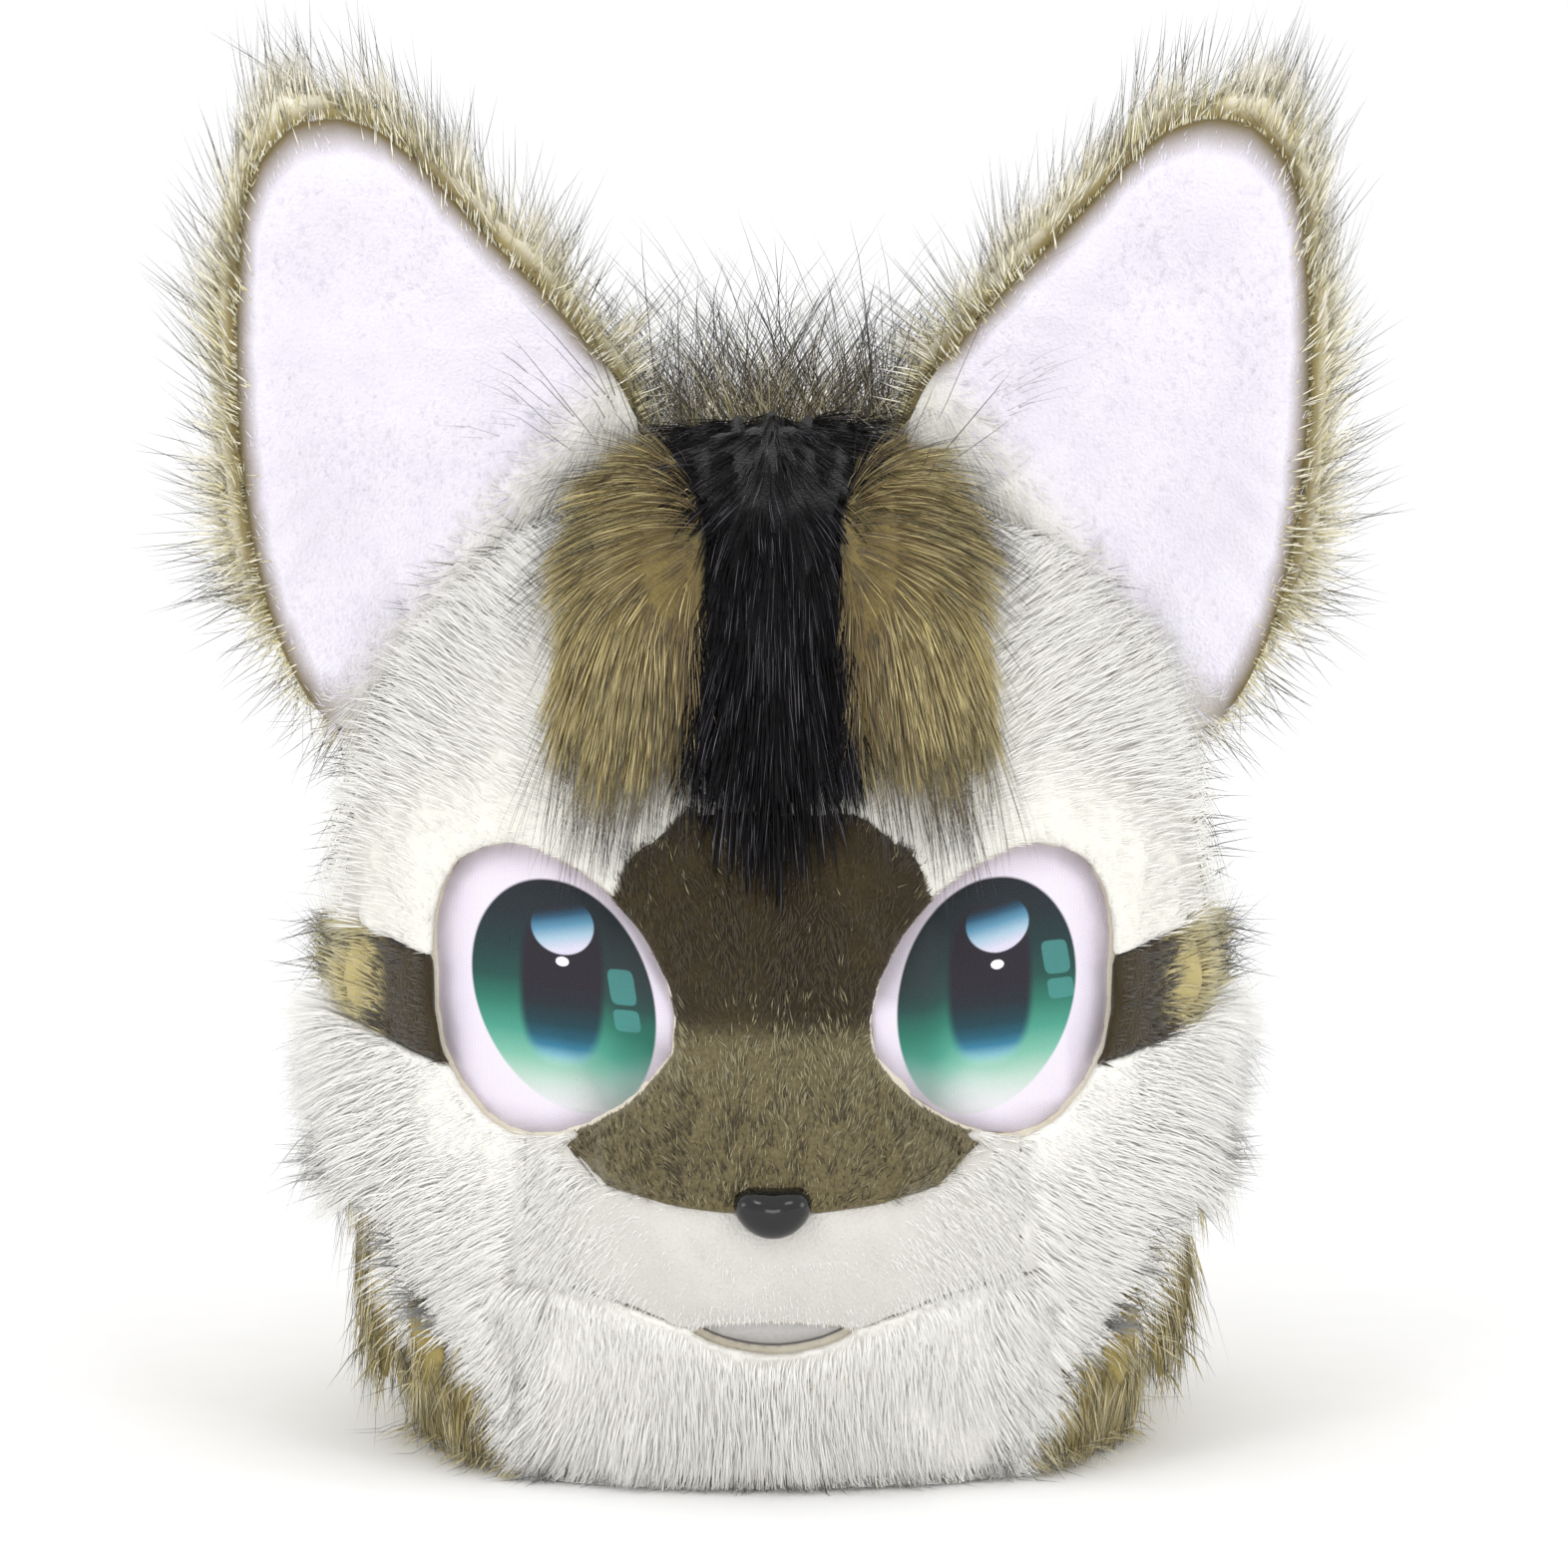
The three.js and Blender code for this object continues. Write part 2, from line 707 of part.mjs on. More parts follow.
function earShellBody(side) {
  const backOf = (share, z) => earFace(share, z) + earShell
    + (earBulge - earHollow / 2) * Math.sqrt(Math.max(0, 1 - share * share));
  return dishBody(earOutline(side, earRim), dishRings, earFace, backOf);
}

function earInnerBody(side) {
  const rings = dishRings.slice(0, -1);
  const edge = rings[rings.length - 1];
  const thickAt = (share) => (share < edge ? earPlush : earPlushEdge);
  const frontOf = (share, z) => earFace(share, z) - seatGap - thickAt(share);
  const backOf = (share, z) => earFace(share, z) - seatGap;
  return dishBody(earOutline(side, earRim), rings, frontOf, backOf);
}

// Locks round the ear's rim, leaning towards its tip
function earLocks(side, extra = 0) {
  const outline = earOutline(side, earRim);
  const locks = [];
  for (let k = 0; k < rimLocks.count; k += 1) {
    const share = mix(rimLocks.from, rimLocks.to, k / (rimLocks.count - 1));
    const place = Math.round(share * outline.length) % outline.length;
    const p = outline[place];
    const before = outline[(place + outline.length - 1) % outline.length];
    const after = outline[(place + 1) % outline.length];
    const along = after.clone().sub(before).normalize();
    let out = new THREE.Vector2(along.y, -along.x);
    const middle = new THREE.Vector2(side * earOut, earUp);
    if (out.dot(p.clone().sub(middle)) < 0) {
      out.negate();
    }
    const rise = along.y < 0 ? along.clone().negate() : along.clone();
    const long = rimLockLong * (1 + lockRipple * Math.sin(k * 2));
    const toward = out.clone().multiplyScalar(1 - rimLocks.sweep).addScaledVector(rise, rimLocks.sweep);
    toward.normalize();
    const deep = earFace(1, p.y) + earShell / 2;
    const path = (t) => {
      const spot = p.clone().addScaledVector(out, -rimLockRoot).addScaledVector(toward, long * t);
      return {
        at: new THREE.Vector3(spot.x, deep + rimLockFall * t * t, spot.y),
        across: new THREE.Vector3(-toward.y, 0, toward.x),
        outward: new THREE.Vector3(0, -1, 0),
      };
    };
    locks.push(lockBody(path, rimLockHalfWide, rimLockThick, extra));
  }
  return locks;
}

// Outline that parts the black middle of the forelock from its tan sides
function partOutline(extra) {
  const half = partRows.map((row) => new THREE.Vector2(
    partHalf + row.flare * partFlare + extra,
    row.up * foamTall,
  ));
  return mirroredOutline(half);
}

// Solids
const sidesBoth = [1, -1];
const foam = headForm(0, 0);
const eyePrisms = sidesBoth.map((side) => frontPrism(eyeOutline(side), frontEnd, -eyeCutDepth));
const eyeHoles = sidesBoth.map((side) => (
  frontPrism(grow(eyeOutline(side), seatGap), frontEnd, -eyeCutDepth)
));
const mouthPrism = frontPrism(mouthOutline(), frontEnd, -mouthCutDepth);
const mouthHole = frontPrism(grow(mouthOutline(), seatGap), frontEnd, -mouthCutDepth);

const headWall = foam
  .subtract(headForm(-foamThick, -cutPast))
  .subtract(joined([...eyeHoles, mouthHole]));

const back = behindSplit(0);
const backPast = behindSplit(pieceGap);
const overHem = boxSolid(
  new THREE.Vector3(-sideReach, -sideReach, hemUp),
  new THREE.Vector3(sideReach, sideReach, topReach),
);
const underFur = headForm(seatGap, -cutPast);
const longShell = headShell(seatGap, longBack).intersect(overHem);
const shortShell = headShell(seatGap, shortPile).intersect(overHem);

const eyeRooms = joined(sidesBoth.map((side) => (
  frontPrism(grow(eyeOutline(side), eyeRoomGap), frontEnd, -eyeCutDepth)
)));
const mouthRoom = frontPrism(grow(mouthOutline(), eyeRoomGap), frontEnd, -mouthCutDepth);
const patchRoom = frontPrism(grow(patchOutline(), pieceGap), frontEnd, 0);
const muzzleRoom = frontPrism(muzzleOutline(0), frontEnd, -frontFurDepth);
const jawRoom = frontPrism(jawOutline(0), frontEnd, -frontFurDepth);

const patch = frontPrism(patchOutline(), frontEnd, 0)
  .intersect(shortShell)
  .subtract(eyeRooms);

const muzzle = frontPrism(muzzleOutline(pieceGap), frontEnd, -frontFurDepth - pieceGap)
  .intersect(shortShell)
  .subtract(eyeRooms)
  .subtract(patchRoom)
  .subtract(mouthRoom);

const jawKeep = frontPrism(jawOutline(pieceGap), frontEnd, -frontFurDepth - pieceGap);
const jaw = joined([longShell, ...headLocks(jawLocks, sidesBoth)])
  .intersect(overHem)
  .intersect(jawKeep)
  .subtract(underFur)
  .subtract(mouthRoom);

const stripes = sidesBoth.map((side) => (
  joined([longShell, ...headLocks(stripeLocks, [side])])
    .intersect(frontPrism(stripeOutline(side, pieceGap), frontEnd, foamBack))
    .subtract(underFur)
    .subtract(back)
    .subtract(eyeRooms)
));
const stripeRooms = joined(sidesBoth.map((side) => (
  frontPrism(stripeOutline(side, 0), frontEnd, foamBack)
)));

const earBlocks = joined(sidesBoth.flatMap((side) => [
  dishBody(
    earOutline(side, earRim + pieceGap),
    dishRings,
    (share, z) => earFace(share, z) - earPlush - 3 * pieceGap,
    (share, z) => earFace(share, z) + earShell * 2 + earBulge,
  ),
  ...earLocks(side, pieceGap),
]));
const forelockRoom = joined([
  ...forelockLocks(blackLocks, sidesBoth, pieceGap),
  ...forelockLocks(tanLocks, sidesBoth, pieceGap),
]);
const overBacking = joined([earBlocks, forelockRoom]);

const furLocks = joined(headLocks([...faceLocks, ...backLocks], sidesBoth)).subtract(overBacking);
const longFur = longShell.add(furLocks);

const face = longFur
  .intersect(overHem)
  .subtract(underFur)
  .subtract(back)
  .subtract(eyeRooms)
  .subtract(patchRoom)
  .subtract(muzzleRoom)
  .subtract(jawRoom)
  .subtract(stripeRooms);

const cheeks = sidesBoth.map((side) => face.intersect(boxSolid(
  new THREE.Vector3(Math.min(0, side * sideReach), -sideReach, 0),
  new THREE.Vector3(Math.max(0, side * sideReach), sideReach, stripeUp),
)));

const backFur = longFur
  .intersect(overHem)
  .subtract(underFur)
  .subtract(jawRoom)
  .intersect(backPast);

const eyes = sidesBoth.map((side, k) => (
  headShell(-eyeRecess - eyeMeshThick, -eyeRecess).intersect(eyePrisms[k])
));
const mouth = headShell(-mouthSet - mouthThick, -mouthSet).intersect(mouthPrism);

function noseBody() {
  const half = noseRows.map((row) => new THREE.Vector2(row.out * noseHalfWide, noseUp + row.up * noseTall));
  const left = half.slice(1, -1).map((p) => new THREE.Vector2(-p.x, p.y)).reverse();
  const tip = headPoint(0, noseUp / (foamTall + shortPile), shortPile).y;
  const frontOf = (share) => tip - noseDeep * mix(Math.sqrt(Math.max(0, 1 - share * share)), 1, noseEdge);
  const backOf = () => tip + noseDeep;
  return dishBody([...half, ...left], [0.4, 0.7, 0.9, 1.0], frontOf, backOf)
    .subtract(headForm(shortPile + seatGap, -cutPast));
}
const nose = noseBody();

const seatForm = headForm(longBack + seatGap, -cutPast);
const earKeep = (side) => boxSolid(
  new THREE.Vector3(Math.min(side * earRoot, side * sideReach), -sideReach, hemUp),
  new THREE.Vector3(Math.max(side * earRoot, side * sideReach), sideReach, topReach),
);
const ears = sidesBoth.map((side) => (
  joined([earShellBody(side), ...earLocks(side)])
    .subtract(earInnerRoom(side))
    .subtract(seatForm)
    .intersect(earKeep(side))
));
const earInners = sidesBoth.map((side) => earInnerBody(side).subtract(seatForm));

// Room in front of the ear's hollow face, so that no rim lock reaches the plush
function earInnerRoom(side) {
  const rings = dishRings.slice(0, -1);
  const frontOf = (share, z) => earFace(share, z) - earHollow * 2;
  const backOf = (share, z) => earFace(share, z) - seatGap / 10;
  return dishBody(earOutline(side, earRim), rings, frontOf, backOf);
}

const blackKeep = frontPrism(partOutline(0), frontEnd, foamBack);
const tanCut = frontPrism(partOutline(pieceGap), frontEnd, foamBack);
const forelockBlack = joined(forelockLocks(blackLocks, sidesBoth))
  .subtract(seatForm)
  .intersect(blackKeep)
  .subtract(earBlocks);
const forelockTans = sidesBoth.map((side) => (
  joined(forelockLocks(tanLocks, [side]))
    .subtract(seatForm)
    .subtract(tanCut)
    .subtract(earBlocks)
));

// Scene
const colours = {
  foam: '#d9d2c4',
  white: '#f3f1e8',
  tan: '#a8986a',
  black: '#17151b',
  pile: '#5f553a',
  stripe: '#6b5a3c',
  mesh: '#dcd6e8',
  plush: '#e9e4f2',
  grey: '#c9c9c9',
  gloss: '#101014',
};
const materialOf = (color, roughness) => new THREE.MeshStandardMaterial({ color, roughness, metalness: 0 });

const group = new THREE.Group();

function place(name, body, color, roughness) {
  const kept = mainPiece(body).getMesh();
  const geometry = new THREE.BufferGeometry();
  geometry.setAttribute('position', new THREE.BufferAttribute(Float32Array.from(kept.vertProperties), 3));
  geometry.setIndex(new THREE.BufferAttribute(Uint32Array.from(kept.triVerts), 1));
  geometry.computeVertexNormals();
  const mesh = new THREE.Mesh(geometry, materialOf(color, roughness));
  mesh.name = name;
  group.add(mesh);
}

place('head_wall', headWall, colours.foam, 0.95);
place('forehead_fur', face, colours.white, 0.95);
place('cheek_fur_right', cheeks[0], colours.white, 0.95);
place('cheek_fur_left', cheeks[1], colours.white, 0.95);
place('back_fur', backFur, colours.tan, 0.95);
place('jaw_fur', jaw, colours.white, 0.95);
place('muzzle_fur', muzzle, colours.white, 0.9);
place('bridge_patch', patch, colours.pile, 0.9);
place('cheek_stripe_right', stripes[0], colours.stripe, 0.95);
place('cheek_stripe_left', stripes[1], colours.stripe, 0.95);
place('eye_mesh_right', eyes[0], colours.mesh, 0.7);
place('eye_mesh_left', eyes[1], colours.mesh, 0.7);
place('nose', nose, colours.gloss, 0.12);
place('mouth_lining', mouth, colours.grey, 0.8);
place('ear_right', ears[0], colours.tan, 0.95);
place('ear_left', ears[1], colours.tan, 0.95);
place('ear_inner_right', earInners[0], colours.plush, 0.9);
place('ear_inner_left', earInners[1], colours.plush, 0.9);
place('forelock_black', forelockBlack, colours.black, 0.7);
place('forelock_tan_right', forelockTans[0], colours.tan, 0.9);
place('forelock_tan_left', forelockTans[1], colours.tan, 0.9);

// The head stands over the middle of its own outline
const box = new THREE.Box3().setFromObject(group);
group.position.y = -(box.min.y + box.max.y) / 2;

export default group;
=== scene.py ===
import math
import bmesh
import bpy
import numpy as np
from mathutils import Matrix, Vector
from mathutils.bvhtree import BVHTree


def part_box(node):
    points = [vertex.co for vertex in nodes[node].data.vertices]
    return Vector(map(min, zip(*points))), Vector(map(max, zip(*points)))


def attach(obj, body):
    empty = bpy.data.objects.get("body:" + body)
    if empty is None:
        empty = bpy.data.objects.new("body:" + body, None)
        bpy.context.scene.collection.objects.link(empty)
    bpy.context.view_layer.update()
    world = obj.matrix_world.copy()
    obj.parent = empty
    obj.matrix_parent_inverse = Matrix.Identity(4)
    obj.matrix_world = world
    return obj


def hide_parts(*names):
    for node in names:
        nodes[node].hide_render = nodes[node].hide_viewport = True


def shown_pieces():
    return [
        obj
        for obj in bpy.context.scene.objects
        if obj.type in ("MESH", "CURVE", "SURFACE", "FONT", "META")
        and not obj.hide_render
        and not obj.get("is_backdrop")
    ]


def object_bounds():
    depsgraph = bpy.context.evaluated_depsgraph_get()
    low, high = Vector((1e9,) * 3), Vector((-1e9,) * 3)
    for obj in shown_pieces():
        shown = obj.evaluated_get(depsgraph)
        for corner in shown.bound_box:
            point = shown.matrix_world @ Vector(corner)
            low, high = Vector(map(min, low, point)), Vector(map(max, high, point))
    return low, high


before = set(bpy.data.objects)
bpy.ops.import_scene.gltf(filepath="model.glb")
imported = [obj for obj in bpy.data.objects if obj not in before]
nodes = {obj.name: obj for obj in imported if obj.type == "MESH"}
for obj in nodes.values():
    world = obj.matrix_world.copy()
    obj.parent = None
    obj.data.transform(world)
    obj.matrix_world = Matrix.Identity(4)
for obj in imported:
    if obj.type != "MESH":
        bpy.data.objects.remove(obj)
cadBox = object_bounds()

strandMap = "OFBake"          # u picks the hair's kind and shade, v runs from root to tip
boxSlack = (0.03, 0.0095)     # share of each side and metres that hair may stand proud of the CAD box
weldGap = 2e-6                # metres

strand = {
    "flat": 0.45,             # thickness against width
    "taper": 0.7,             # width at the second ring against the first
    "fine": 0.45,             # width of guard hair against the other hair
    "spread": 0.006,          # width of its own strip of the strand map
    "skinShare": 1.2,         # how far soft pile is shaded by the skin's direction, against its own
    "eyeMargin": 0.0006,      # metres that a tip keeps off the eyes
    "lowest": 0.0008,         # metres over the floor
}

# places that the fur flows round, in metres
head = {
    "noseTip": np.array([0.0, -0.150, 0.100]),
    "middle": np.array([0.0, 0.013, 0.140]),
    "earOut": 0.099, "earUp": 0.308,
}
headMiddle = Vector(head["middle"])


def linear(code):
    # an sRGB hex value as linear colour
    parts = [int(code[k:k + 2], 16) / 255 for k in (1, 3, 5)]
    return [p / 12.92 if p <= 0.04045 else ((p + 0.055) / 1.055) ** 2.4 for p in parts] + [1.0]


def add(tree, kind, settings=None, links=None):
    # one node with its settings and its inputs, given as values or as other nodes' sockets
    node = tree.nodes.new(kind)
    for key, value in (settings or {}).items():
        setattr(node, key, value)
    for key, value in (links or {}).items():
        socket = node.inputs[key]
        if isinstance(value, bpy.types.NodeSocket):
            tree.links.new(value, socket)
        else:
            socket.default_value = value
    return node


def ramp(tree, factor, stops):
    # a colour ramp through (place, hex) stops
    node = add(tree, "ShaderNodeValToRGB", None, {"Fac": factor})
    elements = node.color_ramp.elements
    while len(elements) < len(stops):
        elements.new(0.5)
    for element, (place, code) in zip(elements, stops):
        element.position = place
        element.color = linear(code)
    return node.outputs["Color"]


def sums(tree, operation, a, b, c=None):
    links = {0: a, 1: b}
    if c is not None:
        links[2] = c
    return add(tree, "ShaderNodeMath", {"operation": operation}, links).outputs[0]


def blended(tree, factor, a, b):
    node = add(tree, "ShaderNodeMix", {"data_type": "RGBA"})
    for key, value in ((0, factor), (6, a), (7, b)):
        if isinstance(value, bpy.types.NodeSocket):
            tree.links.new(value, node.inputs[key])
        else:
            node.inputs[key].default_value = value
    return node.outputs[2]


def band(tree, value, low, high, first=0.0, last=1.0):
    # eases from first to last while the value runs from low to high
    return add(tree, "ShaderNodeMapRange", {"interpolation_type": "SMOOTHSTEP"}, {
        "Value": value, "From Min": low, "From Max": high, "To Min": first, "To Max": last}).outputs["Result"]


def spotOf(tree):
    return add(tree, "ShaderNodeTexCoord").outputs["Object"]


def noiseAt(tree, spot, scale, detail):
    noise = add(tree, "ShaderNodeTexNoise", None, {"Vector": spot, "Scale": scale, "Detail": detail})
    return noise.outputs["Fac"]


def coloured(tree, shader, colour):
    tree.links.new(colour, shader.inputs["Base Color"])


def bumped(tree, shader, height, strength, distance):
    bump = add(tree, "ShaderNodeBump", None, {"Strength": strength, "Distance": distance, "Height": height})
    tree.links.new(bump.outputs["Normal"], shader.inputs["Normal"])


def newMaterial(name):
    material = bpy.data.materials.new(name)
    material.use_nodes = True
    tree = material.node_tree
    return material, tree, tree.nodes["Principled BSDF"]


def shine(shader, roughness, sheen=0.0, specular=0.3):
    shader.inputs["Roughness"].default_value = roughness
    shader.inputs["Sheen Weight"].default_value = sheen
    shader.inputs["Sheen Roughness"].default_value = 0.5
    shader.inputs["Specular IOR Level"].default_value = specular


def linked(name, data):
    # an object of its own in the scene
    item = bpy.data.objects.new(name, data)
    bpy.context.scene.collection.objects.link(item)
    return item


def toned(tree, colour, value):
    return add(tree, "ShaderNodeHueSaturation", None, {"Color": colour, "Value": value}).outputs["Color"]


def hairMaterial(name, look):
    # Acrylic pile fibre: each strand darker at its root, shaded a little from its neighbours
    material, tree, shader = newMaterial(name)
    uv = add(tree, "ShaderNodeUVMap", {"uv_map": strandMap})
    apart = add(tree, "ShaderNodeSeparateXYZ", None, {0: uv.outputs["UV"]})
    u, v = apart.outputs["X"], apart.outputs["Y"]
    colour = ramp(tree, v, look["hair"])
    for kind in ("second", "guard"):
        if kind in look:
            pick = sums(tree, "GREATER_THAN", u, look[kind + "From"])
            colour = blended(tree, pick, colour, ramp(tree, v, look[kind]))
    shadeWaves = 97.0
    wave = sums(tree, "SINE", sums(tree, "MULTIPLY", u, shadeWaves), 0.0)
    value = sums(tree, "MULTIPLY_ADD", wave, look["shade"], 1.0)
    coloured(tree, shader, toned(tree, colour, value))
    shine(shader, look["rough"], look.get("sheen", 0.15), look.get("specular", 0.3))
    return material


def skinMaterial(name, look):
    # Knitted backing seen between the strands, in the colour of their roots
    material, tree, shader = newMaterial(name)
    spot = spotOf(tree)
    patches = noiseAt(tree, spot, 60.0, 4.0)
    fibres = noiseAt(tree, spot, 900.0, 2.0)
    colour = ramp(tree, patches, [(0.3, look["skin"][0]), (0.7, look["skin"][1])])
    grain = look.get("grain", 0.05)
    value = sums(tree, "MULTIPLY_ADD", fibres, 2 * grain, 1 - grain)
    if "lower" in look:
        sideways, upwards, height, half = look["line"]
        flat = add(tree, "ShaderNodeSeparateXYZ", None, {0: spot})
        side = sums(tree, "MULTIPLY", sums(tree, "ABSOLUTE", flat.outputs["X"], 0.0), sideways)
        over = sums(tree, "SUBTRACT", sums(tree, "MULTIPLY_ADD", flat.outputs["Z"], upwards, side), height)
        colour = blended(tree, band(tree, over, -half, half, 1.0, 0.0), colour, linear(look["lower"]))
    if "edge" in look:
        edge = add(tree, "ShaderNodeAttribute", {"attribute_name": "edge"})
        colour = blended(tree, edge.outputs["Fac"], colour, linear(look["edge"]))
    coloured(tree, shader, toned(tree, colour, value))
    bumped(tree, shader, fibres, 0.6, 0.0012)
    shine(shader, 0.9, 0.2, 0.2)
    return material


wallTree = BVHTree.FromPolygons([v.co for v in nodes["head_wall"].data.vertices],
                                [face.vertices for face in nodes["head_wall"].data.polygons])
furRise = {
    "backing": 0.0066,        # metres over the padded wall, above which locks are laid
    "least": 0.0030,          # metres that a skin keeps over the padded wall
    "cell": 0.0019,           # metres, the cells that laid skins are remade in
    "kept": 0.15,             # share of the remade faces that is left
    "inward": 0.22,           # share of an inward move that a laid skin makes
}


def layLocks(bm, laid):
    # locks over the padded wall keep this share of their height, since strands carry the rest
    for v in bm.verts:
        spot, normal, face, away = wallTree.find_nearest(v.co)
        if away > furRise["backing"] and normal.dot(v.co - spot) > 0:
            v.co = spot + (v.co - spot) * ((furRise["backing"] + (away - furRise["backing"]) * laid) / away)


def oneSkin(mesh):
    # the outside of locks that run into each other, remade in even cells
    holder = linked("holder", mesh)
    cells = holder.modifiers.new("cells", "REMESH")
    cells.mode = "VOXEL"
    cells.voxel_size = furRise["cell"]
    fewer = holder.modifiers.new("fewer", "DECIMATE")
    fewer.ratio = furRise["kept"]
    remade = bpy.data.meshes.new_from_object(holder.evaluated_get(bpy.context.evaluated_depsgraph_get()))
    bpy.data.objects.remove(holder)
    return remade


def smoothed(free, turns, inward):
    # each vertex goes half the way to the middle of its neighbours, and less far inwards
    for turn in range(turns):
        moves = []
        for v in free:
            around = [e.other_vert(v).co for e in v.link_edges]
            move = (sum(around, Vector()) / len(around) - v.co) * 0.5
            moves.append(move if move.dot(v.co - headMiddle) > 0 else move * inward)
        for v, move in zip(free, moves):
            v.co += move


def raised(free):
    # a skin stays clear of the padded wall
    for v in free:
        spot, normal, face, away = wallTree.find_nearest(v.co)
        if normal.dot(spot - headMiddle) > 0 and normal.dot(v.co - spot) < furRise["least"]:
            v.co = spot + normal * furRise["least"]


def cadCopy(name, node, cuts=0, soften=0, outer=None, laid=None):
    # the solid of one node, with its locks laid, softened where outer says so, cut finer and kept in its box
    mesh = bpy.data.meshes.new(name)
    bm = bmesh.new()
    bm.from_mesh(nodes[node].data)
    bmesh.ops.remove_doubles(bm, verts=bm.verts, dist=weldGap)
    bmesh.ops.dissolve_degenerate(bm, edges=bm.edges, dist=weldGap / 2)
    bmesh.ops.recalc_face_normals(bm, faces=bm.faces)
    if laid:
        layLocks(bm, laid)
        bm.to_mesh(mesh)
        bm.clear()
        bm.from_mesh(oneSkin(mesh))
        bm.normal_update()
    free = [v for v in bm.verts if not outer or all(outer(f.calc_center_median(), f.normal)
                                                    for f in v.link_faces)]
    smoothed(free, soften, furRise["inward"] if laid else 1.0)
    if laid:
        raised(free)
    for turn in range(cuts):
        bmesh.ops.subdivide_edges(bm, edges=bm.edges, cuts=1, use_grid_fill=True, smooth=0.6)
        bmesh.ops.triangulate(bm, faces=bm.faces)
    low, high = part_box(node)
    for v in bm.verts:
        v.co = [min(max(v.co[k], low[k]), high[k]) for k in range(3)]
    bmesh.ops.recalc_face_normals(bm, faces=bm.faces)
    bm.to_mesh(mesh)
    bm.free()
    mesh.validate()
    for face in mesh.polygons:
        face.use_smooth = True
    return linked(name, mesh)


def dressed(piece, material, slot, *replaced):
    piece.data.materials.clear()
    piece.data.materials.append(material)
    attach(piece, "root")
    if replaced:
        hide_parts(*replaced)
    return piece


def skinPiece(name, node, key, slot, **shape):
    # the skin that stands for a node, in the backing of one look
    return dressed(cadCopy(name, node, **shape), skinOf[key], slot, node)


def hairPiece(name, skin, fur, seed, key, slot):
    return dressed(grow(name, skin, fur, seed), hairOf[key], slot)


def unit(v):
    return v / np.maximum(np.linalg.norm(v, axis=1, keepdims=True), 1e-9)


def wavesAt(points, scale, seed):
    # a smooth field of small vectors, for hair that leans this way and that
    random = np.random.default_rng(seed)
    field = np.zeros_like(points)
    for octave in range(3):
        turn = random.normal(size=(3, 3)) * scale * (1.7 ** octave)
        shift = random.uniform(0, 2 * math.pi, 3)
        field += np.sin(points @ turn + shift) / (1.4 ** octave)
    return field / 2.0


def rowsOf(items, key, kind=float):
    # one property of many mesh elements, three numbers a row
    rows = np.empty(len(items) * 3, kind)
    items.foreach_get(key, rows)
    return rows.reshape(-1, 3)


def rootsOn(piece, count, weightOf, seed):
    # places for hair on a skin, more of them where the weight is larger
    mesh = piece.data
    mesh.calc_loop_triangles()
    spots = rowsOf(mesh.vertices, "co")
    turned = rowsOf(mesh.vertices, "normal")
    corners = rowsOf(mesh.loop_triangles, "vertices", np.int32)
    a, b, c = (spots[corners[:, k]] for k in range(3))
    cross = np.cross(b - a, c - a)
    area = np.linalg.norm(cross, axis=1) / 2
    weight = area * weightOf((a + b + c) / 3, unit(cross))
    random = np.random.default_rng(seed)
    chosen = random.choice(len(area), count, p=weight / weight.sum())
    one, two = random.random(count), random.random(count)
    fold = one + two > 1
    one[fold], two[fold] = 1 - one[fold], 1 - two[fold]
    shares = np.stack([1 - one - two, one, two], 1)[:, :, None]
    places = (spots[corners[chosen]] * shares).sum(1)
    normals = unit((turned[corners[chosen]] * shares).sum(1))
    return places, normals, random


def clumpOf(places, count, random):
    # for each root, the number of the nearest clump's middle, worked out a batch at a time
    batch = 2000
    middles = random.choice(len(places), count, replace=False)
    nearest = np.empty(len(places), int)
    for start in range(0, len(places), batch):
        part = places[start:start + batch]
        gaps = ((part[:, None, :] - places[middles][None]) ** 2).sum(2)
        nearest[start:start + batch] = gaps.argmin(1)
    return middles[nearest]


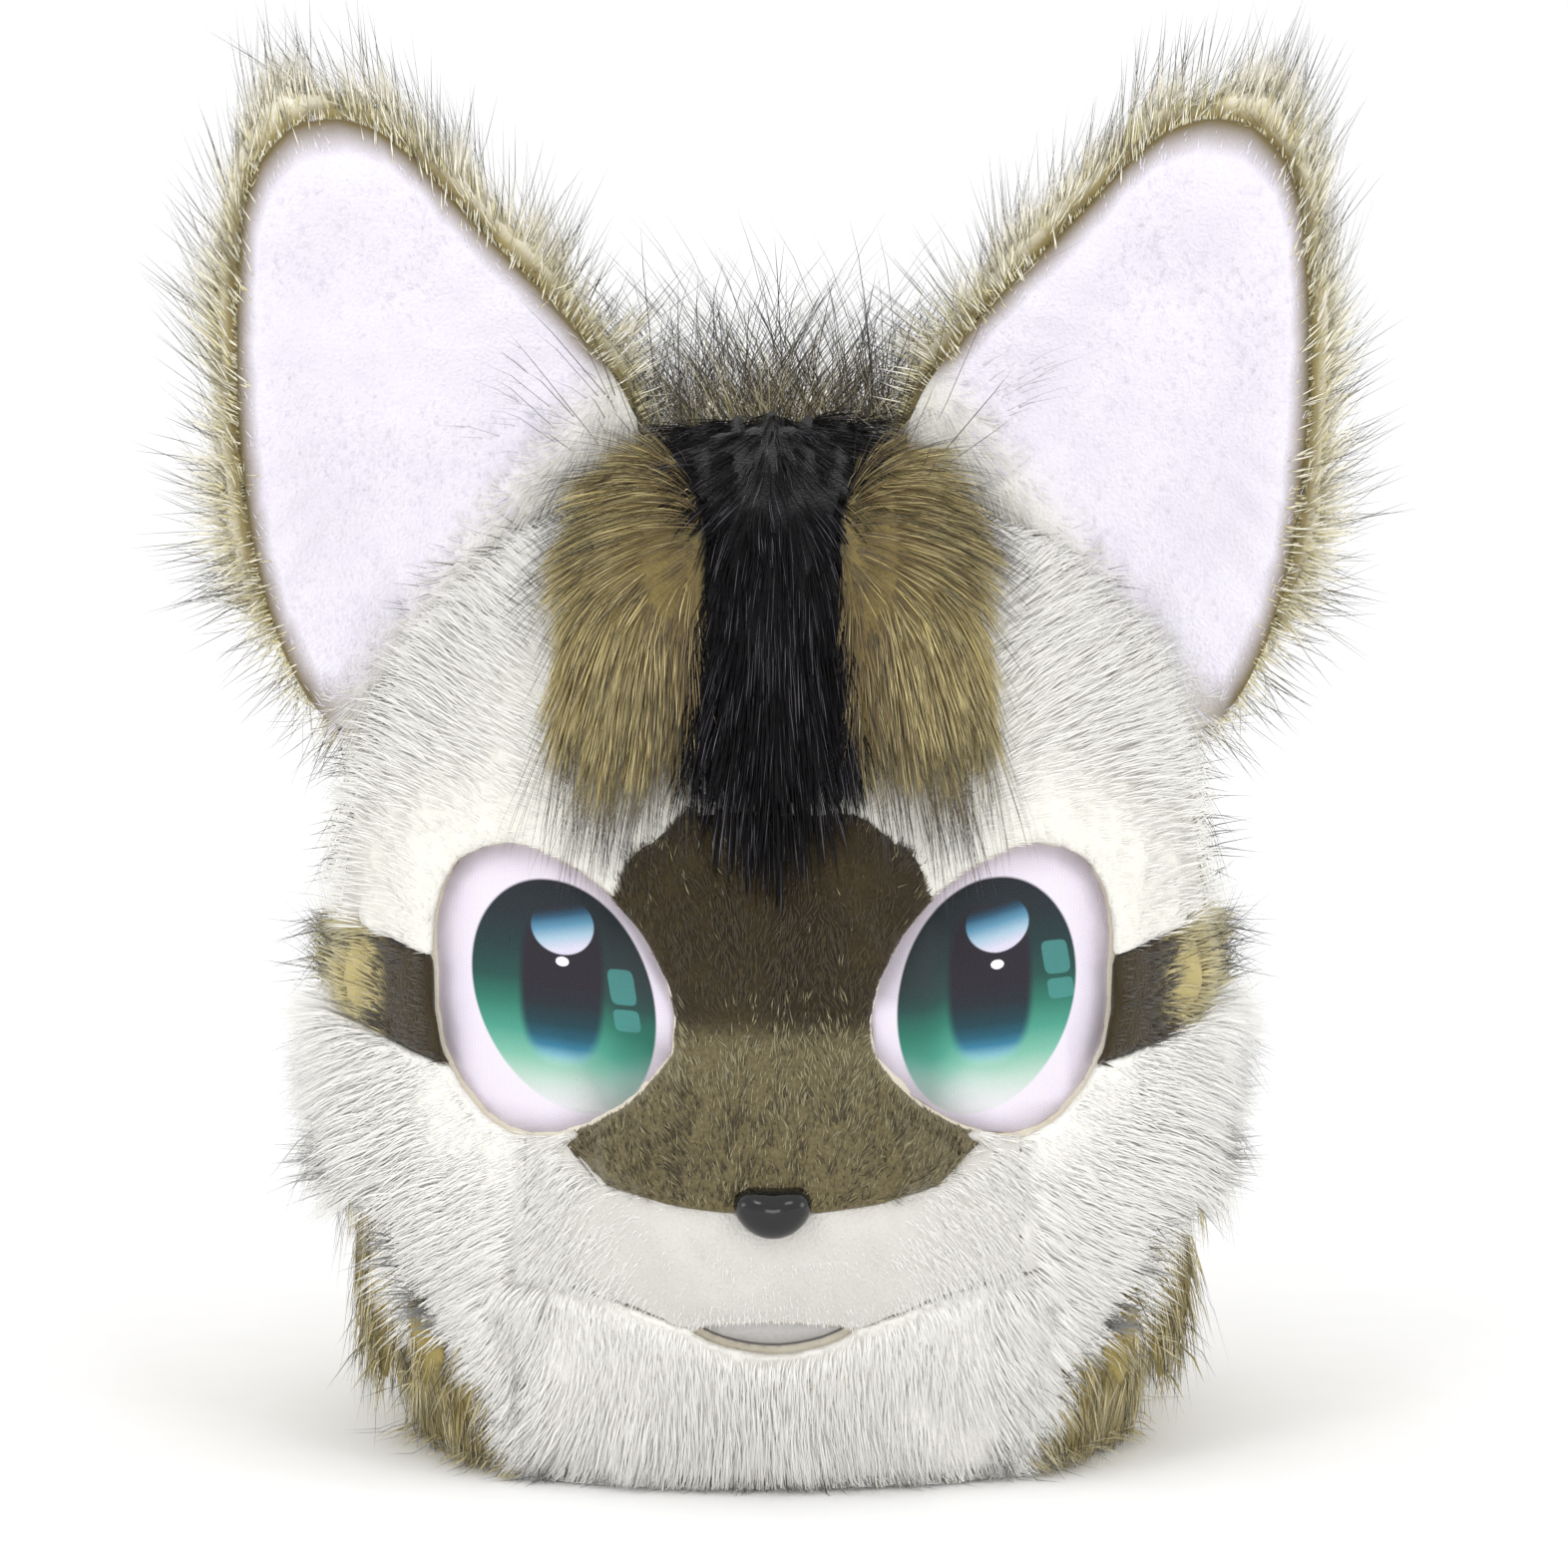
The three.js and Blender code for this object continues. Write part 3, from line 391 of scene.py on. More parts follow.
def strandPiece(name, curves, widths, tones, facing, soft):
    # curves: root, one or two rings and tip for each strand, as closed three-sided needles, flattened
    # along the skin; facing: the skin's direction there, which soft white pile is also shaded by
    count, stations = curves.shape[:2]
    rings = stations - 2
    perStrand = 3 * rings + 2
    points = np.empty((count, perStrand, 3))
    points[:, 0] = curves[:, 0]
    points[:, -1] = curves[:, -1]
    for ring in range(rings):
        middle = curves[:, ring + 1]
        along = unit(curves[:, ring + 2] - curves[:, ring])
        side = unit(np.cross(along, facing) + 1e-7)
        over = np.cross(along, side) * strand["flat"]
        for k in range(3):
            turn = 2 * math.pi * k / 3 + math.pi / 6
            reach = side * math.cos(turn) + over * math.sin(turn)
            points[:, 1 + 3 * ring + k] = middle + reach * widths[:, ring:ring + 1]
    faces = []
    for k in range(3):
        after = (k + 1) % 3
        faces.append((0, 1 + after, 1 + k))
        for ring in range(rings - 1):
            low = 1 + 3 * ring
            faces.append((low + k, low + after, low + 3 + k))
            faces.append((low + after, low + 3 + after, low + 3 + k))
        last = 1 + 3 * (rings - 1)
        faces.append((last + k, last + after, perStrand - 1))
    faces = np.array(faces)
    corners = (faces[None] + (np.arange(count) * perStrand)[:, None, None]).reshape(-1)
    level = np.empty(perStrand)
    level[0], level[-1] = 0.0, 1.0
    across = np.zeros(perStrand)
    for ring in range(rings):
        level[1 + 3 * ring:4 + 3 * ring] = (ring + 1) / (rings + 1)
        across[1 + 3 * ring:4 + 3 * ring] = (0.0, 0.5, 1.0)
    across[0] = across[-1] = 0.5
    flat = faces.reshape(-1)
    uv = np.empty((count, len(flat), 2))
    uv[:, :, 0] = np.clip(tones[:, None], 0.0, 1.0 - strand["spread"]) + across[flat][None] * strand["spread"]
    uv[:, :, 1] = level[flat][None]
    mesh = bpy.data.meshes.new(name)
    mesh.vertices.add(count * perStrand)
    mesh.vertices.foreach_set("co", points.reshape(-1))
    mesh.loops.add(len(corners))
    mesh.loops.foreach_set("vertex_index", corners.astype(np.int32))
    mesh.polygons.add(len(corners) // 3)
    mesh.polygons.foreach_set("loop_start", np.arange(0, len(corners), 3, dtype=np.int32))
    mesh.update(calc_edges=True)
    mesh.polygons.foreach_set("use_smooth", np.ones(len(mesh.polygons), bool))
    layer = mesh.uv_layers.new(name=strandMap)
    layer.uv.foreach_set("vector", uv.reshape(-1).astype(np.float32))
    if soft:
        mixed = rowsOf(mesh.vertices, "normal") + np.repeat(facing, perStrand, 0) * strand["skinShare"]
        mesh.normals_split_custom_set_from_vertices(unit(mixed))
    return linked(name, mesh)


def grow(name, skin, look, seed):
    # hair of one kind from one skin
    places, normals, random = rootsOn(skin, look["count"], look["where"], seed)
    if "stand" in look:
        normals = unit(normals + look["stand"] * unit(fromMiddle(places)))
    comb = look["comb"](places, normals)
    comb = unit(comb - normals * (comb * normals).sum(1, keepdims=True))
    wave = wavesAt(places, look.get("waveScale", 60.0), seed + 1) * look.get("wave", 0.25)
    jitter = random.normal(size=places.shape) * look["jitter"]
    comb = unit(comb + wave + jitter)
    count = len(places)
    long = look["length"](places) * random.uniform(1 - look.get("uneven", 0.3), 1.0, count)
    tones = random.random(count)
    if "kinds" in look:
        tones, long = look["kinds"](places, tones, long)
    lift = look["lift"](places) if callable(look["lift"]) else look["lift"]
    lift = (lift * random.uniform(0.75, 1.25, count))[:, None]
    down = np.array([0.0, 0.0, -look["droop"]])
    shares = [0.0, 0.45, 1.0] if look.get("short") else [0.0, 0.36, 0.74, 1.0]
    curves = np.empty((count, len(shares), 3))
    reach = long[:, None]
    for k, t in enumerate(shares):
        rise = lift * t * (1 - 0.35 * t)
        curves[:, k] = (places - normals * look.get("sink", 0.0012)
                        + reach * (normals * rise + comb * t * math.sqrt(1 - 0.2 * t))
                        + down * reach * t * t)
    if look.get("clearEyes"):
        rootGap, tipGap = eyeGap(curves[:, 0]), eyeGap(curves[:, -1])
        clear = np.clip(rootGap / np.maximum(rootGap - tipGap, 1e-5), 0.2, 1.0)
        share = np.where(tipGap < strand["eyeMargin"], clear, 1.0)
        curves = curves[:, :1] + (curves - curves[:, :1]) * share[:, None, None]
    if look.get("clumps"):
        heads = clumpOf(places, look["clumps"], random)
        pull = look["clump"] * random.uniform(0.5, 1.0, count)[:, None]
        for k, t in enumerate(shares):
            if t > 0:
                share = pull * t ** 1.3
                curves[:, k] = curves[:, k] * (1 - share) + curves[heads, k] * share
    low, high = np.array(cadBox)
    slack = (high - low) * boxSlack[0] + boxSlack[1]
    floor = np.array([low[0] - slack[0], low[1] - slack[1], strand["lowest"]])
    curves = np.clip(curves, floor, high + slack)
    thick = look["width"] * random.uniform(0.7, 1.15, count)
    widths = np.stack([thick] if look.get("short") else [thick, thick * strand["taper"]], 1)
    if "fine" in look:
        widths *= np.where(tones > look["fine"], strand["fine"], 1.0)[:, None]
    return strandPiece(name, curves, widths, tones, normals, look.get("soft", False))


def smoothStep(x, low, high):
    t = np.clip((x - low) / (high - low), 0.0, 1.0)
    return t * t * (3 - 2 * t)


def atSide(p, low, high):
    # 0 near the middle plane, 1 beyond high on either side
    return smoothStep(np.abs(p[:, 0]), low, high)


def shadeOf(tones):
    # a second random number for each strand, from its first
    return (tones * 13.7) % 1.0


def hullOf(points):
    # the corners of a flat set of points, counter-clockwise
    points = sorted(map(tuple, points))
    half = []
    for run in (points, points[::-1]):
        side = []
        for p in run:
            while len(side) > 1 and ((side[-1][0] - side[-2][0]) * (p[1] - side[-2][1])
                                     - (side[-1][1] - side[-2][1]) * (p[0] - side[-2][0])) <= 0:
                side.pop()
            side.append(p)
        half += side[:-1]
    return np.array(half)


def flatPoints(node):
    return [(v.co.x, v.co.z) for v in nodes[node].data.vertices]


eyeHull = hullOf(flatPoints("eye_mesh_right"))


def eyeGap(p):
    # how far a point stands outside the nearer eye's outline, seen from the front; far at the back
    x, z = np.abs(p[:, 0]), p[:, 2]
    gap = np.full(len(p), -1.0)
    for (ax, az), (bx, bz) in zip(eyeHull, np.roll(eyeHull, -1, 0)):
        long = math.hypot(bx - ax, bz - az)
        gap = np.maximum(gap, ((bz - az) * (x - ax) - (bx - ax) * (z - az)) / long)
    return np.where(p[:, 1] > -0.03, 0.1, gap)


def outlineOf(node):
    # how far a point stands inside a node's outline, seen from the front
    hull = hullOf(flatPoints(node))

    def inset(p):
        gap = np.full(len(p), 1.0)
        for (ax, az), (bx, bz) in zip(hull, np.roll(hull, -1, 0)):
            long = max(math.hypot(bx - ax, bz - az), 1e-6)
            gap = np.minimum(gap, ((bx - ax) * (p[:, 2] - az) - (bz - az) * (p[:, 0] - ax)) / long)
        return gap

    return inset


def fromMiddle(p):
    away = p - head["middle"]
    away[:, 2] *= 0.6
    return away


def outward(p, n):
    # 1 on the outer side of a skin and its edges, 0 on its inner side
    return ((unit(fromMiddle(p)) * n).sum(1) > -0.45).astype(float)


def facesOut(centre, normal):
    away = Vector(centre) - headMiddle
    away.z *= 0.6
    return away.normalized().dot(normal) > 0.05


def fromNose(p, n, fall):
    away = unit(p - head["noseTip"])
    away[:, 2] -= fall
    return away


# Fur colours: white fur, tan fur with black tips, black fur, brown pile and ear plush
# The white fur of the forehead, muzzle, cheeks and jaw is painted in three tones to even out the light: the
# forehead's and the muzzle's darker where they face the lamps (painted shade), the cheeks' and jaw's lighter
# where their longer strands shade each other (painted light)
whiteLook = {
    "skin": ("#e2dfd6", "#e9e7df"),
    "hair": [(0.0, "#e6e3da"), (0.35, "#f3f1ea"), (1.0, "#fbfaf6")],
    "shade": 0.02, "rough": 0.7, "sheen": 0.2, "soft": True,
}
# painted shade: the muzzle's white is darker still, to tone down the light on its dense front-facing pile
muzzleLook = {
    **whiteLook, "skin": ("#c9c6c0", "#d1cec8"),
    "hair": [(0.0, "#e2dfd6"), (0.35, "#f0eee7"), (1.0, "#f9f8f4")],
}
# painted light: the cheeks' and jaw's white is lighter, to make up for the shade between their long strands
longLook = {
    "skin": ("#ebe9e1", "#f2f0ea"),
    "hair": [(0.0, "#f0eee6"), (0.35, "#faf8f2"), (1.0, "#fffefb")],
    "shade": 0.01, "rough": 0.8, "sheen": 0.35, "soft": True,
}
tanLook = {
    "skin": ("#857645", "#a3945c"),
    "hair": [(0.0, "#6a5b34"), (0.25, "#9d8d57"), (0.7, "#bbad77"), (1.0, "#c9bd8c")],
    "second": [(0.0, "#8a7a4a"), (0.35, "#cabd8c"), (1.0, "#ebe5cf")],
    "secondFrom": 0.5,
    "guard": [(0.0, "#a8996a"), (0.4, "#57503f"), (0.58, "#1f1d1e"), (1.0, "#141318")],
    "guardFrom": 0.8, "fine": 0.8,
    "shade": 0.12, "rough": 0.5,
}
earLook = {
    "skin": ("#7d6f45", "#978a5a"),
    "hair": [(0.0, "#5b4e2e"), (0.2, "#b3a671"), (0.5, "#e2d8a9"), (1.0, "#f3edd0")],
    "second": [(0.0, "#c2b78d"), (0.3, "#efe9d0"), (1.0, "#fffcf3")],
    "secondFrom": 0.5,
    "guard": [(0.0, "#cfc59d"), (0.4, "#9a9278"), (0.62, "#353233"), (1.0, "#1b1a1f")],
    "guardFrom": 0.82, "fine": 0.82, "edge": "#efe9d6",
    "shade": 0.1, "rough": 0.5,
}
lockLook = {
    "skin": ("#6f6038", "#88794a"), "grain": 0.35,
    "hair": [(0.0, "#75643a"), (0.3, "#a39159"), (0.75, "#c6b884"), (1.0, "#ab9b66")],
    "second": [(0.0, "#43371f"), (0.4, "#715f39"), (1.0, "#857145")],
    "secondFrom": 0.6,
    "guard": [(0.0, "#94854f"), (0.4, "#6d5f3c"), (0.62, "#262220"), (1.0, "#141318")],
    "guardFrom": 0.86, "fine": 0.86,
    "shade": 0.32, "rough": 0.42, "specular": 0.4,
}
blackLook = {
    "skin": ("#060507", "#0d0b0f"),
    "hair": [(0.0, "#060507"), (0.6, "#0b0a0d"), (1.0, "#131118")],
    # painted highlights: these light grey strands among the black stand for streaks of light on the glossy
    # black hair
    "guard": [(0.0, "#0d0b0f"), (0.4, "#4b484f"), (1.0, "#8d8991")],
    "guardFrom": 0.84, "fine": 0.84,
    "shade": 0.2, "rough": 0.4, "specular": 0.2, "sheen": 0.0,
}
pileLook = {
    "skin": ("#2b2415", "#3b311c"),
    "hair": [(0.0, "#4a4330"), (0.4, "#8a8260"), (1.0, "#a69e7a")],
    "second": [(0.0, "#1a150c"), (0.6, "#403419"), (1.0, "#5c4d29")],
    "secondFrom": 0.5, "grain": 0.7,
    "lower": "#665d42", "line": (0.0, 1.0, 0.146, 0.005),
    "shade": 0.2, "rough": 0.6,
}
plushLook = {
    "skin": ("#dfdae6", "#e5e1eb"),
    "hair": [(0.0, "#dbd6e3"), (0.5, "#e3deea"), (1.0, "#ebe7f1")],
    "second": [(0.0, "#d9d6cc"), (0.4, "#e2e0d8"), (1.0, "#eeece6")],
    "secondFrom": 0.9,
    "lower": "#e3e1d9", "line": (1.25, 1.0, 0.388, 0.016), "edge": "#6d5f3a",
    "shade": 0.02, "rough": 0.7, "sheen": 0.2, "soft": True,
}
stripeLook = {
    "skin": ("#ab9d69", "#b9ab76"),
    "hair": [(0.0, "#2e2517"), (0.5, "#3d3320"), (1.0, "#4e422e")],
    "second": [(0.0, "#ab9d69"), (0.4, "#c8bb87"), (1.0, "#dcd3a9")],
    "lower": "#382f1c", "line": (1.0, 0.0, 0.1175, 0.003),
    "secondFrom": 0.5,
    "guard": [(0.0, "#7d7252"), (0.4, "#4a4539"), (0.6, "#1f1d1e"), (1.0, "#141318")],
    "guardFrom": 0.8, "fine": 0.8,
    "shade": 0.1, "rough": 0.5,
}
looks = {
    "white": whiteLook, "muzzle": muzzleLook, "long": longLook, "tan": tanLook, "ear": earLook,
    "lock": lockLook, "black": blackLook, "brownPile": pileLook, "plush": plushLook, "stripe": stripeLook,
}
hairOf = {key: hairMaterial(key + "Acrylic", look) for key, look in looks.items()}
skinOf = {key: skinMaterial(key + "Backing", look) for key, look in looks.items()}
print("materials made")


# White fur of the forehead: short over the brows, longer and swept outwards beside the ears
def foreheadLength(p):
    away = smoothStep(eyeGap(p), 0.002, 0.03)
    side = atSide(p, 0.04, 0.11)
    foot = smoothStep(p[:, 2], 0.21, 0.24) * atSide(p, 0.05, 0.07)
    return 0.006 + 0.008 * away + 0.010 * away * side + 0.008 * foot


def foreheadComb(p, n):
    way = unit(p - head["noseTip"])
    way[:, 0] += np.sign(p[:, 0]) * 0.5
    way[:, 2] -= 0.15
    return way


def foreheadWeight(p, n):
    return outward(p, n) * (1.0 + 2.2 * smoothStep(p[:, 2], 0.19, 0.225) * atSide(p, 0.05, 0.07))


foreheadFur = {
    "count": 14000, "width": 0.0002, "where": foreheadWeight, "comb": foreheadComb,
    "length": foreheadLength, "lift": lambda p: 0.34 + 0.2 * atSide(p, 0.085, 0.12), "droop": 0.1,
    "stand": 0.7, "jitter": 0.1, "wave": 0.2, "short": True, "sink": 0.0006, "clearEyes": True,
    **whiteLook,
}
skin = skinPiece("forehead_skin", "forehead_fur", "white", "white_fur", soften=8, outer=facesOut, laid=0.25)
hairPiece("forehead_hair", skin, foreheadFur, 11, "white", "white_fur")


# White fur of the cheeks: short under the eyes, longest at the sides, flowing out and down
def cheekLength(p):
    away = smoothStep(eyeGap(p), 0.002, 0.03)
    side = atSide(p, 0.07, 0.125)
    return 0.006 + 0.010 * away + 0.015 * side * away


def cheekComb(p, n):
    way = fromNose(p, n, 0.45)
    way[:, 0] += np.sign(p[:, 0]) * 0.7
    return way


def cheekWeight(p, n):
    return outward(p, n) * (0.8 + 1.0 * atSide(p, 0.105, 0.125))


cheekFur = {
    "count": 9000, "width": 0.00022, "where": cheekWeight, "comb": cheekComb,
    "length": cheekLength, "lift": lambda p: 0.36 + 0.4 * atSide(p, 0.100, 0.125), "droop": 0.15,
    "stand": 0.7, "jitter": 0.1, "wave": 0.2, "short": True, "sink": 0.0006, "clearEyes": True,
    **longLook,
}
for side, seed in (("left", 21), ("right", 22)):
    skin = skinPiece("cheek_skin_" + side, "cheek_fur_" + side, "long", "white_fur",
                     soften=8, outer=facesOut, laid=0.3)
    hairPiece("cheek_hair_" + side, skin, cheekFur, seed, "long", "white_fur")
print("forehead and cheeks grown")


# White fur of the chin and lower jaw, hanging
def jawComb(p, n):
    way = np.zeros_like(p)
    way[:, 0] = p[:, 0] * 7.0 + np.sign(p[:, 0]) * 0.8 * atSide(p, 0.06, 0.075)
    way[:, 1] = -0.15
    way[:, 2] = -1.0
    return way


jawFur = {
    "count": 9500, "width": 0.00021, "comb": jawComb,
    "where": lambda p, n: outward(p, n) * (1 + 2.5 * atSide(p, 0.062, 0.072)),
    "length": lambda p: (0.009 + 0.010 * smoothStep(0.055 - p[:, 2], 0.0, 0.03)
                         + 0.006 * atSide(p, 0.06, 0.07)),
    "lift": 0.36, "droop": 0.15, "stand": 0.7, "jitter": 0.1, "wave": 0.2, "short": True, "sink": 0.0006,
    **longLook,
}
skin = skinPiece("jaw_skin", "jaw_fur", "long", "white_fur", soften=8, outer=facesOut, laid=0.3)
hairPiece("jaw_hair", skin, jawFur, 31, "long", "white_fur")


# Short white pile of the muzzle, brushed away from the nose
muzzlePile = {
    "count": 9000, "width": 0.00018,
    "where": lambda p, n: outward(p, n) * (1 + atSide(p, 0.055, 0.065)),
    "comb": lambda p, n: fromNose(p, n, 0.5),
    "length": lambda p: 0.004 + 0.0085 * atSide(p, 0.03, 0.065),
    "lift": 0.25, "droop": 0.1, "stand": 0.7, "jitter": 0.15, "short": True, "clearEyes": True,
    **muzzleLook,
}
skin = skinPiece("muzzle_skin", "muzzle_fur", "muzzle", "white_pile", cuts=2)
hairPiece("muzzle_hair", skin, muzzlePile, 41, "muzzle", "white_pile")


# Short olive-brown pile between the eyes, mottled, darker towards the brow
def mottled(p, tones, long):
    patch = wavesAt(p, 260.0, 7)[:, 0] * 0.22 + wavesAt(p, 600.0, 8)[:, 1] * 0.16
    dark = 0.56 - 0.36 * smoothStep(p[:, 2], 0.120, 0.130) + 0.79 * smoothStep(p[:, 2], 0.138, 0.150)
    second = tones + patch < dark
    shade = ((tones * 11.3) % 1.0) * 0.49
    return np.where(second, 0.5 + shade, shade), long


bridgeInset = outlineOf("bridge_patch")


def bridgeWeight(p, n):
    return outward(p, n) * np.where((bridgeInset(p) < 0.004) & (p[:, 2] > 0.150), 4.0, 1.0)


bridgePile = {
    "count": 13500, "width": 0.00022, "where": bridgeWeight,
    "comb": lambda p, n: np.stack([p[:, 0] * 6.0, np.zeros(len(p)), np.ones(len(p))], 1),
    "length": lambda p: 0.0075 + 0.001 * np.sin(p[:, 0] * 400),
    "lift": 0.35, "droop": 0.05, "stand": 0.7, "clumps": 1500, "clump": 0.5, "jitter": 0.25, "wave": 0.4,
    "waveScale": 200.0, "short": True, "kinds": mottled, "clearEyes": True, **pileLook,
}
skin = skinPiece("bridge_skin", "bridge_patch", "brownPile", "brown_pile", cuts=2)
hairPiece("bridge_hair", skin, bridgePile, 51, "brownPile", "brown_pile")
print("jaw, muzzle and bridge grown")


# Stripe behind each eye: dark brown, then tan, then black-tipped hair that stands out
def stripeKinds(p, tones, long):
    out = np.abs(p[:, 0]) + 0.15 * (p[:, 1] + 0.05)
    tanShare = smoothStep(out, 0.1155, 0.1215)
    guardShare = 0.03 + 0.22 * smoothStep(out, 0.132, 0.139)
    kind = np.where(tones < guardShare, 2, np.where((tones * 7.3) % 1.0 < tanShare, 1, 0))
    shade = shadeOf(tones)
    tone = np.select([kind == 0, kind == 1], [shade * 0.49, 0.5 + shade * 0.29], 0.81 + shade * 0.18)
    return tone, long * np.where(kind == 2, 2.0, 1.0)


stripeFur = {
    "count": 3600, "width": 0.00032, "where": outward, "short": True,
    "comb": lambda p, n: np.stack([np.sign(p[:, 0]), np.full(len(p), 0.5), np.full(len(p), 0.1)], 1),
    "length": lambda p: 0.008 + 0.012 * atSide(p, 0.105, 0.13),
    "lift": 0.3, "droop": 0.06, "stand": 0.7, "jitter": 0.1,
    "kinds": stripeKinds, **stripeLook,
}
for side, seed in (("left", 61), ("right", 62)):
    skin = skinPiece("stripe_skin_" + side, "cheek_stripe_" + side, "stripe", "stripe_fur",
                     soften=6, outer=facesOut, laid=0.4)
    hairPiece("stripe_hair_" + side, skin, stripeFur, seed, "stripe", "stripe_fur")


# Tan fur of the back of the head, black at the tips, flowing forwards of the ears' line out and down
def tanKinds(p, tones, long):
    return tones, long * np.where(tones > 0.8, 1.8, 1.0)


def backComb(p, n):
    way = fromMiddle(p)
    way[:, 2] = 0.0
    way = unit(way) * (0.35 + 0.75 * smoothStep(-p[:, 1], -0.03, 0.03))[:, None]
    way[:, 2] = -1.0
    return way


backFur = {
    "count": 13500, "width": 0.00038, "comb": backComb, "short": True,
    "where": lambda p, n: outward(p, n) * (1 + 1.6 * smoothStep(-p[:, 1], -0.03, 0.0)),
    "length": lambda p: 0.020 + 0.006 * smoothStep(p[:, 1], -0.02, 0.05),
    "lift": 0.35, "droop": 0.15, "stand": 0.7, "clumps": 700, "clump": 0.35, "jitter": 0.12,
    "kinds": tanKinds, **tanLook,
}
backSkin = skinPiece("back_skin", "back_fur", "tan", "tan_fur", soften=3, outer=facesOut, laid=0.8)
hairPiece("back_hair", backSkin, backFur, 71, "tan", "tan_fur")


# Stray hair that fans up from the crown behind the forelock
crownFan = {"halfWide": 0.042, "front": 0.006, "back": 0.036, "lean": 0.6, "stray": 0.35, "weave": 5100}


def crownOnly(p, n):
    deep = (p[:, 1] > crownFan["front"]) & (p[:, 1] < crownFan["back"])
    return outward(p, n) * (deep & (np.abs(p[:, 0]) < crownFan["halfWide"]))


def crownComb(p, n):
    lean = (p[:, 0] / crownFan["halfWide"] * crownFan["lean"]
            + np.sin(p[:, 0] * crownFan["weave"]) * crownFan["stray"])
    return np.stack([lean, np.zeros(len(p)), np.ones(len(p))], 1)


def crownKinds(p, tones, long):
    # mostly guard hair, more of it outwards
    guard = tones < atSide(p, 0.010, 0.030) * 0.3 + 0.55
    shade = shadeOf(tones)
    return np.where(guard, 0.82 + shade * 0.17, 0.52 + shade * 0.25), long * np.where(guard, 1.2, 0.8)


crownStrays = {
    "count": 2600, "width": 0.00017, "where": crownOnly, "comb": crownComb,
    "length": lambda p: np.full(len(p), 0.047),
    "lift": 1.5, "droop": 0.0, "uneven": 0.55, "jitter": 0.12, "kinds": crownKinds,
    **tanLook, "fine": 2.0,       # above every tone: these strays are all of one width
}
hairPiece("crown_strays", backSkin, crownStrays, 72, "tan", "tan_fur")
print("stripes and back grown")


# Ears: tan fur swept outwards round the rim, white plush in the hollow
def earComb(p, n):
    side = np.sign(p[:, 0])
    away = np.stack([np.abs(p[:, 0]) - head["earOut"], np.zeros(len(p)), p[:, 2] - head["earUp"]], 1)
    away[:, 0] *= side
    way = unit(away)
    way[:, 2] += 0.45
    way[:, 1] += 0.2
    return way


def markEdge(piece, shareOf):
    # how much of the edge's colour each place of a skin takes
    share = shareOf(rowsOf(piece.data.vertices, "co"))
    mark = piece.data.attributes.new("edge", "FLOAT", "POINT")
    mark.data.foreach_set("value", share.astype(np.float32))


def earKinds(p, tones, long, inset):
    # dense short hair, pale longer hair and sparse black-tipped guard hair
    far = smoothStep(-inset(p), 0.001, 0.007)
    shade = shadeOf(tones)
    guard = tones < 0.14
    cream = (tones * 7.1) % 1.0 < 0.25 + 0.7 * far
    tone = np.where(guard, 0.83 + shade * 0.16, np.where(cream, 0.51 + shade * 0.3, shade * 0.49))
    return tone, long * np.where(guard, 2.3, np.where(cream, 1.1, 0.5))


earFur = {
    "count": 9000, "width": 0.0003, "comb": earComb, "short": True,
    "length": lambda p: np.full(len(p), 0.020),
    "lift": 0.35, "droop": 0.0, "clumps": 700, "clump": 0.25, "jitter": 0.1, **earLook,
}


def warmShare(p):
    # the hollow's foot and inner side are long warm white fur that runs into the forehead's
    out, up, slope = 0.052, 0.323, 1.25
    line = up - (np.abs(p[:, 0]) - out) * slope
    return smoothStep(line - p[:, 2], -0.012, 0.018)


def plushKinds(p, tones, long):
    low = warmShare(p)
    warm = (tones * 5.3) % 1.0 < low
    return np.where(warm, 0.91 + tones * 0.08, tones * 0.88), long * (1 + 1.3 * low)


def plushComb(p, n):
    low = warmShare(p)[:, None]
    up = np.stack([np.sign(p[:, 0]) * 0.25, np.zeros(len(p)), np.full(len(p), 0.9)], 1)
    down = np.stack([np.sign(p[:, 0]) * 0.5, np.zeros(len(p)), np.full(len(p), -0.9)], 1)
    return up * (1 - low) + down * low


earPlush = {
    "count": 4500, "width": 0.0002, "comb": plushComb, "length": lambda p: np.full(len(p), 0.0065),
    "lift": 0.25, "droop": 0.05, "jitter": 0.12, "wave": 0.3, "short": True,
    "kinds": plushKinds, **plushLook,
}
earEdge = {
    "count": 1700, "width": 0.0003, "comb": earComb, "short": True,
    "length": lambda p: np.full(len(p), 0.013),
    "lift": 0.2, "droop": 0.0, "jitter": 0.12, **earLook,
}
for side, seed in (("left", 81), ("right", 82)):
    inset = outlineOf("ear_inner_" + side)
    under = lambda p: (1 - smoothStep(inset(p), 0.0028, 0.0045)) * (1 - warmShare(p))
    kinds = lambda p, tones, long: earKinds(p, tones, long, inset)
    rim = {"where": lambda p, n: np.where(n[:, 1] < 0.3, np.where(inset(p) < 0.001, 2.6, 0.0), 1.0),
           "kinds": kinds, **earFur}
    edge = {"where": lambda p, n: (n[:, 1] < 0.3) * under(p), "kinds": kinds, **earEdge}
    inner = {"where": lambda p, n: np.where(n[:, 1] < -0.2, 1.0, 0.8 * (n[:, 1] < 0.3)) * (1 - under(p))
             * (1 + 2 * warmShare(p)), **earPlush}
    rimOnly = lambda centre, normal: inset(np.array([centre]))[0] < -0.002
    skin = skinPiece("ear_skin_" + side, "ear_" + side, "ear", "tan_fur", cuts=1, soften=8, outer=rimOnly)
    markEdge(skin, lambda p: smoothStep(-inset(p), 0.002, 0.008))
    hairPiece("ear_hair_" + side, skin, rim, seed, "ear", "tan_fur")
    plush = skinPiece("ear_plush_skin_" + side, "ear_inner_" + side, "plush", "ear_plush", cuts=2)
    markEdge(plush, under)
    hairPiece("ear_plush_" + side, plush, inner, seed + 4, "plush", "ear_plush")
    hairPiece("ear_edge_" + side, plush, edge, seed + 8, "ear", "tan_fur")
print("ears grown")


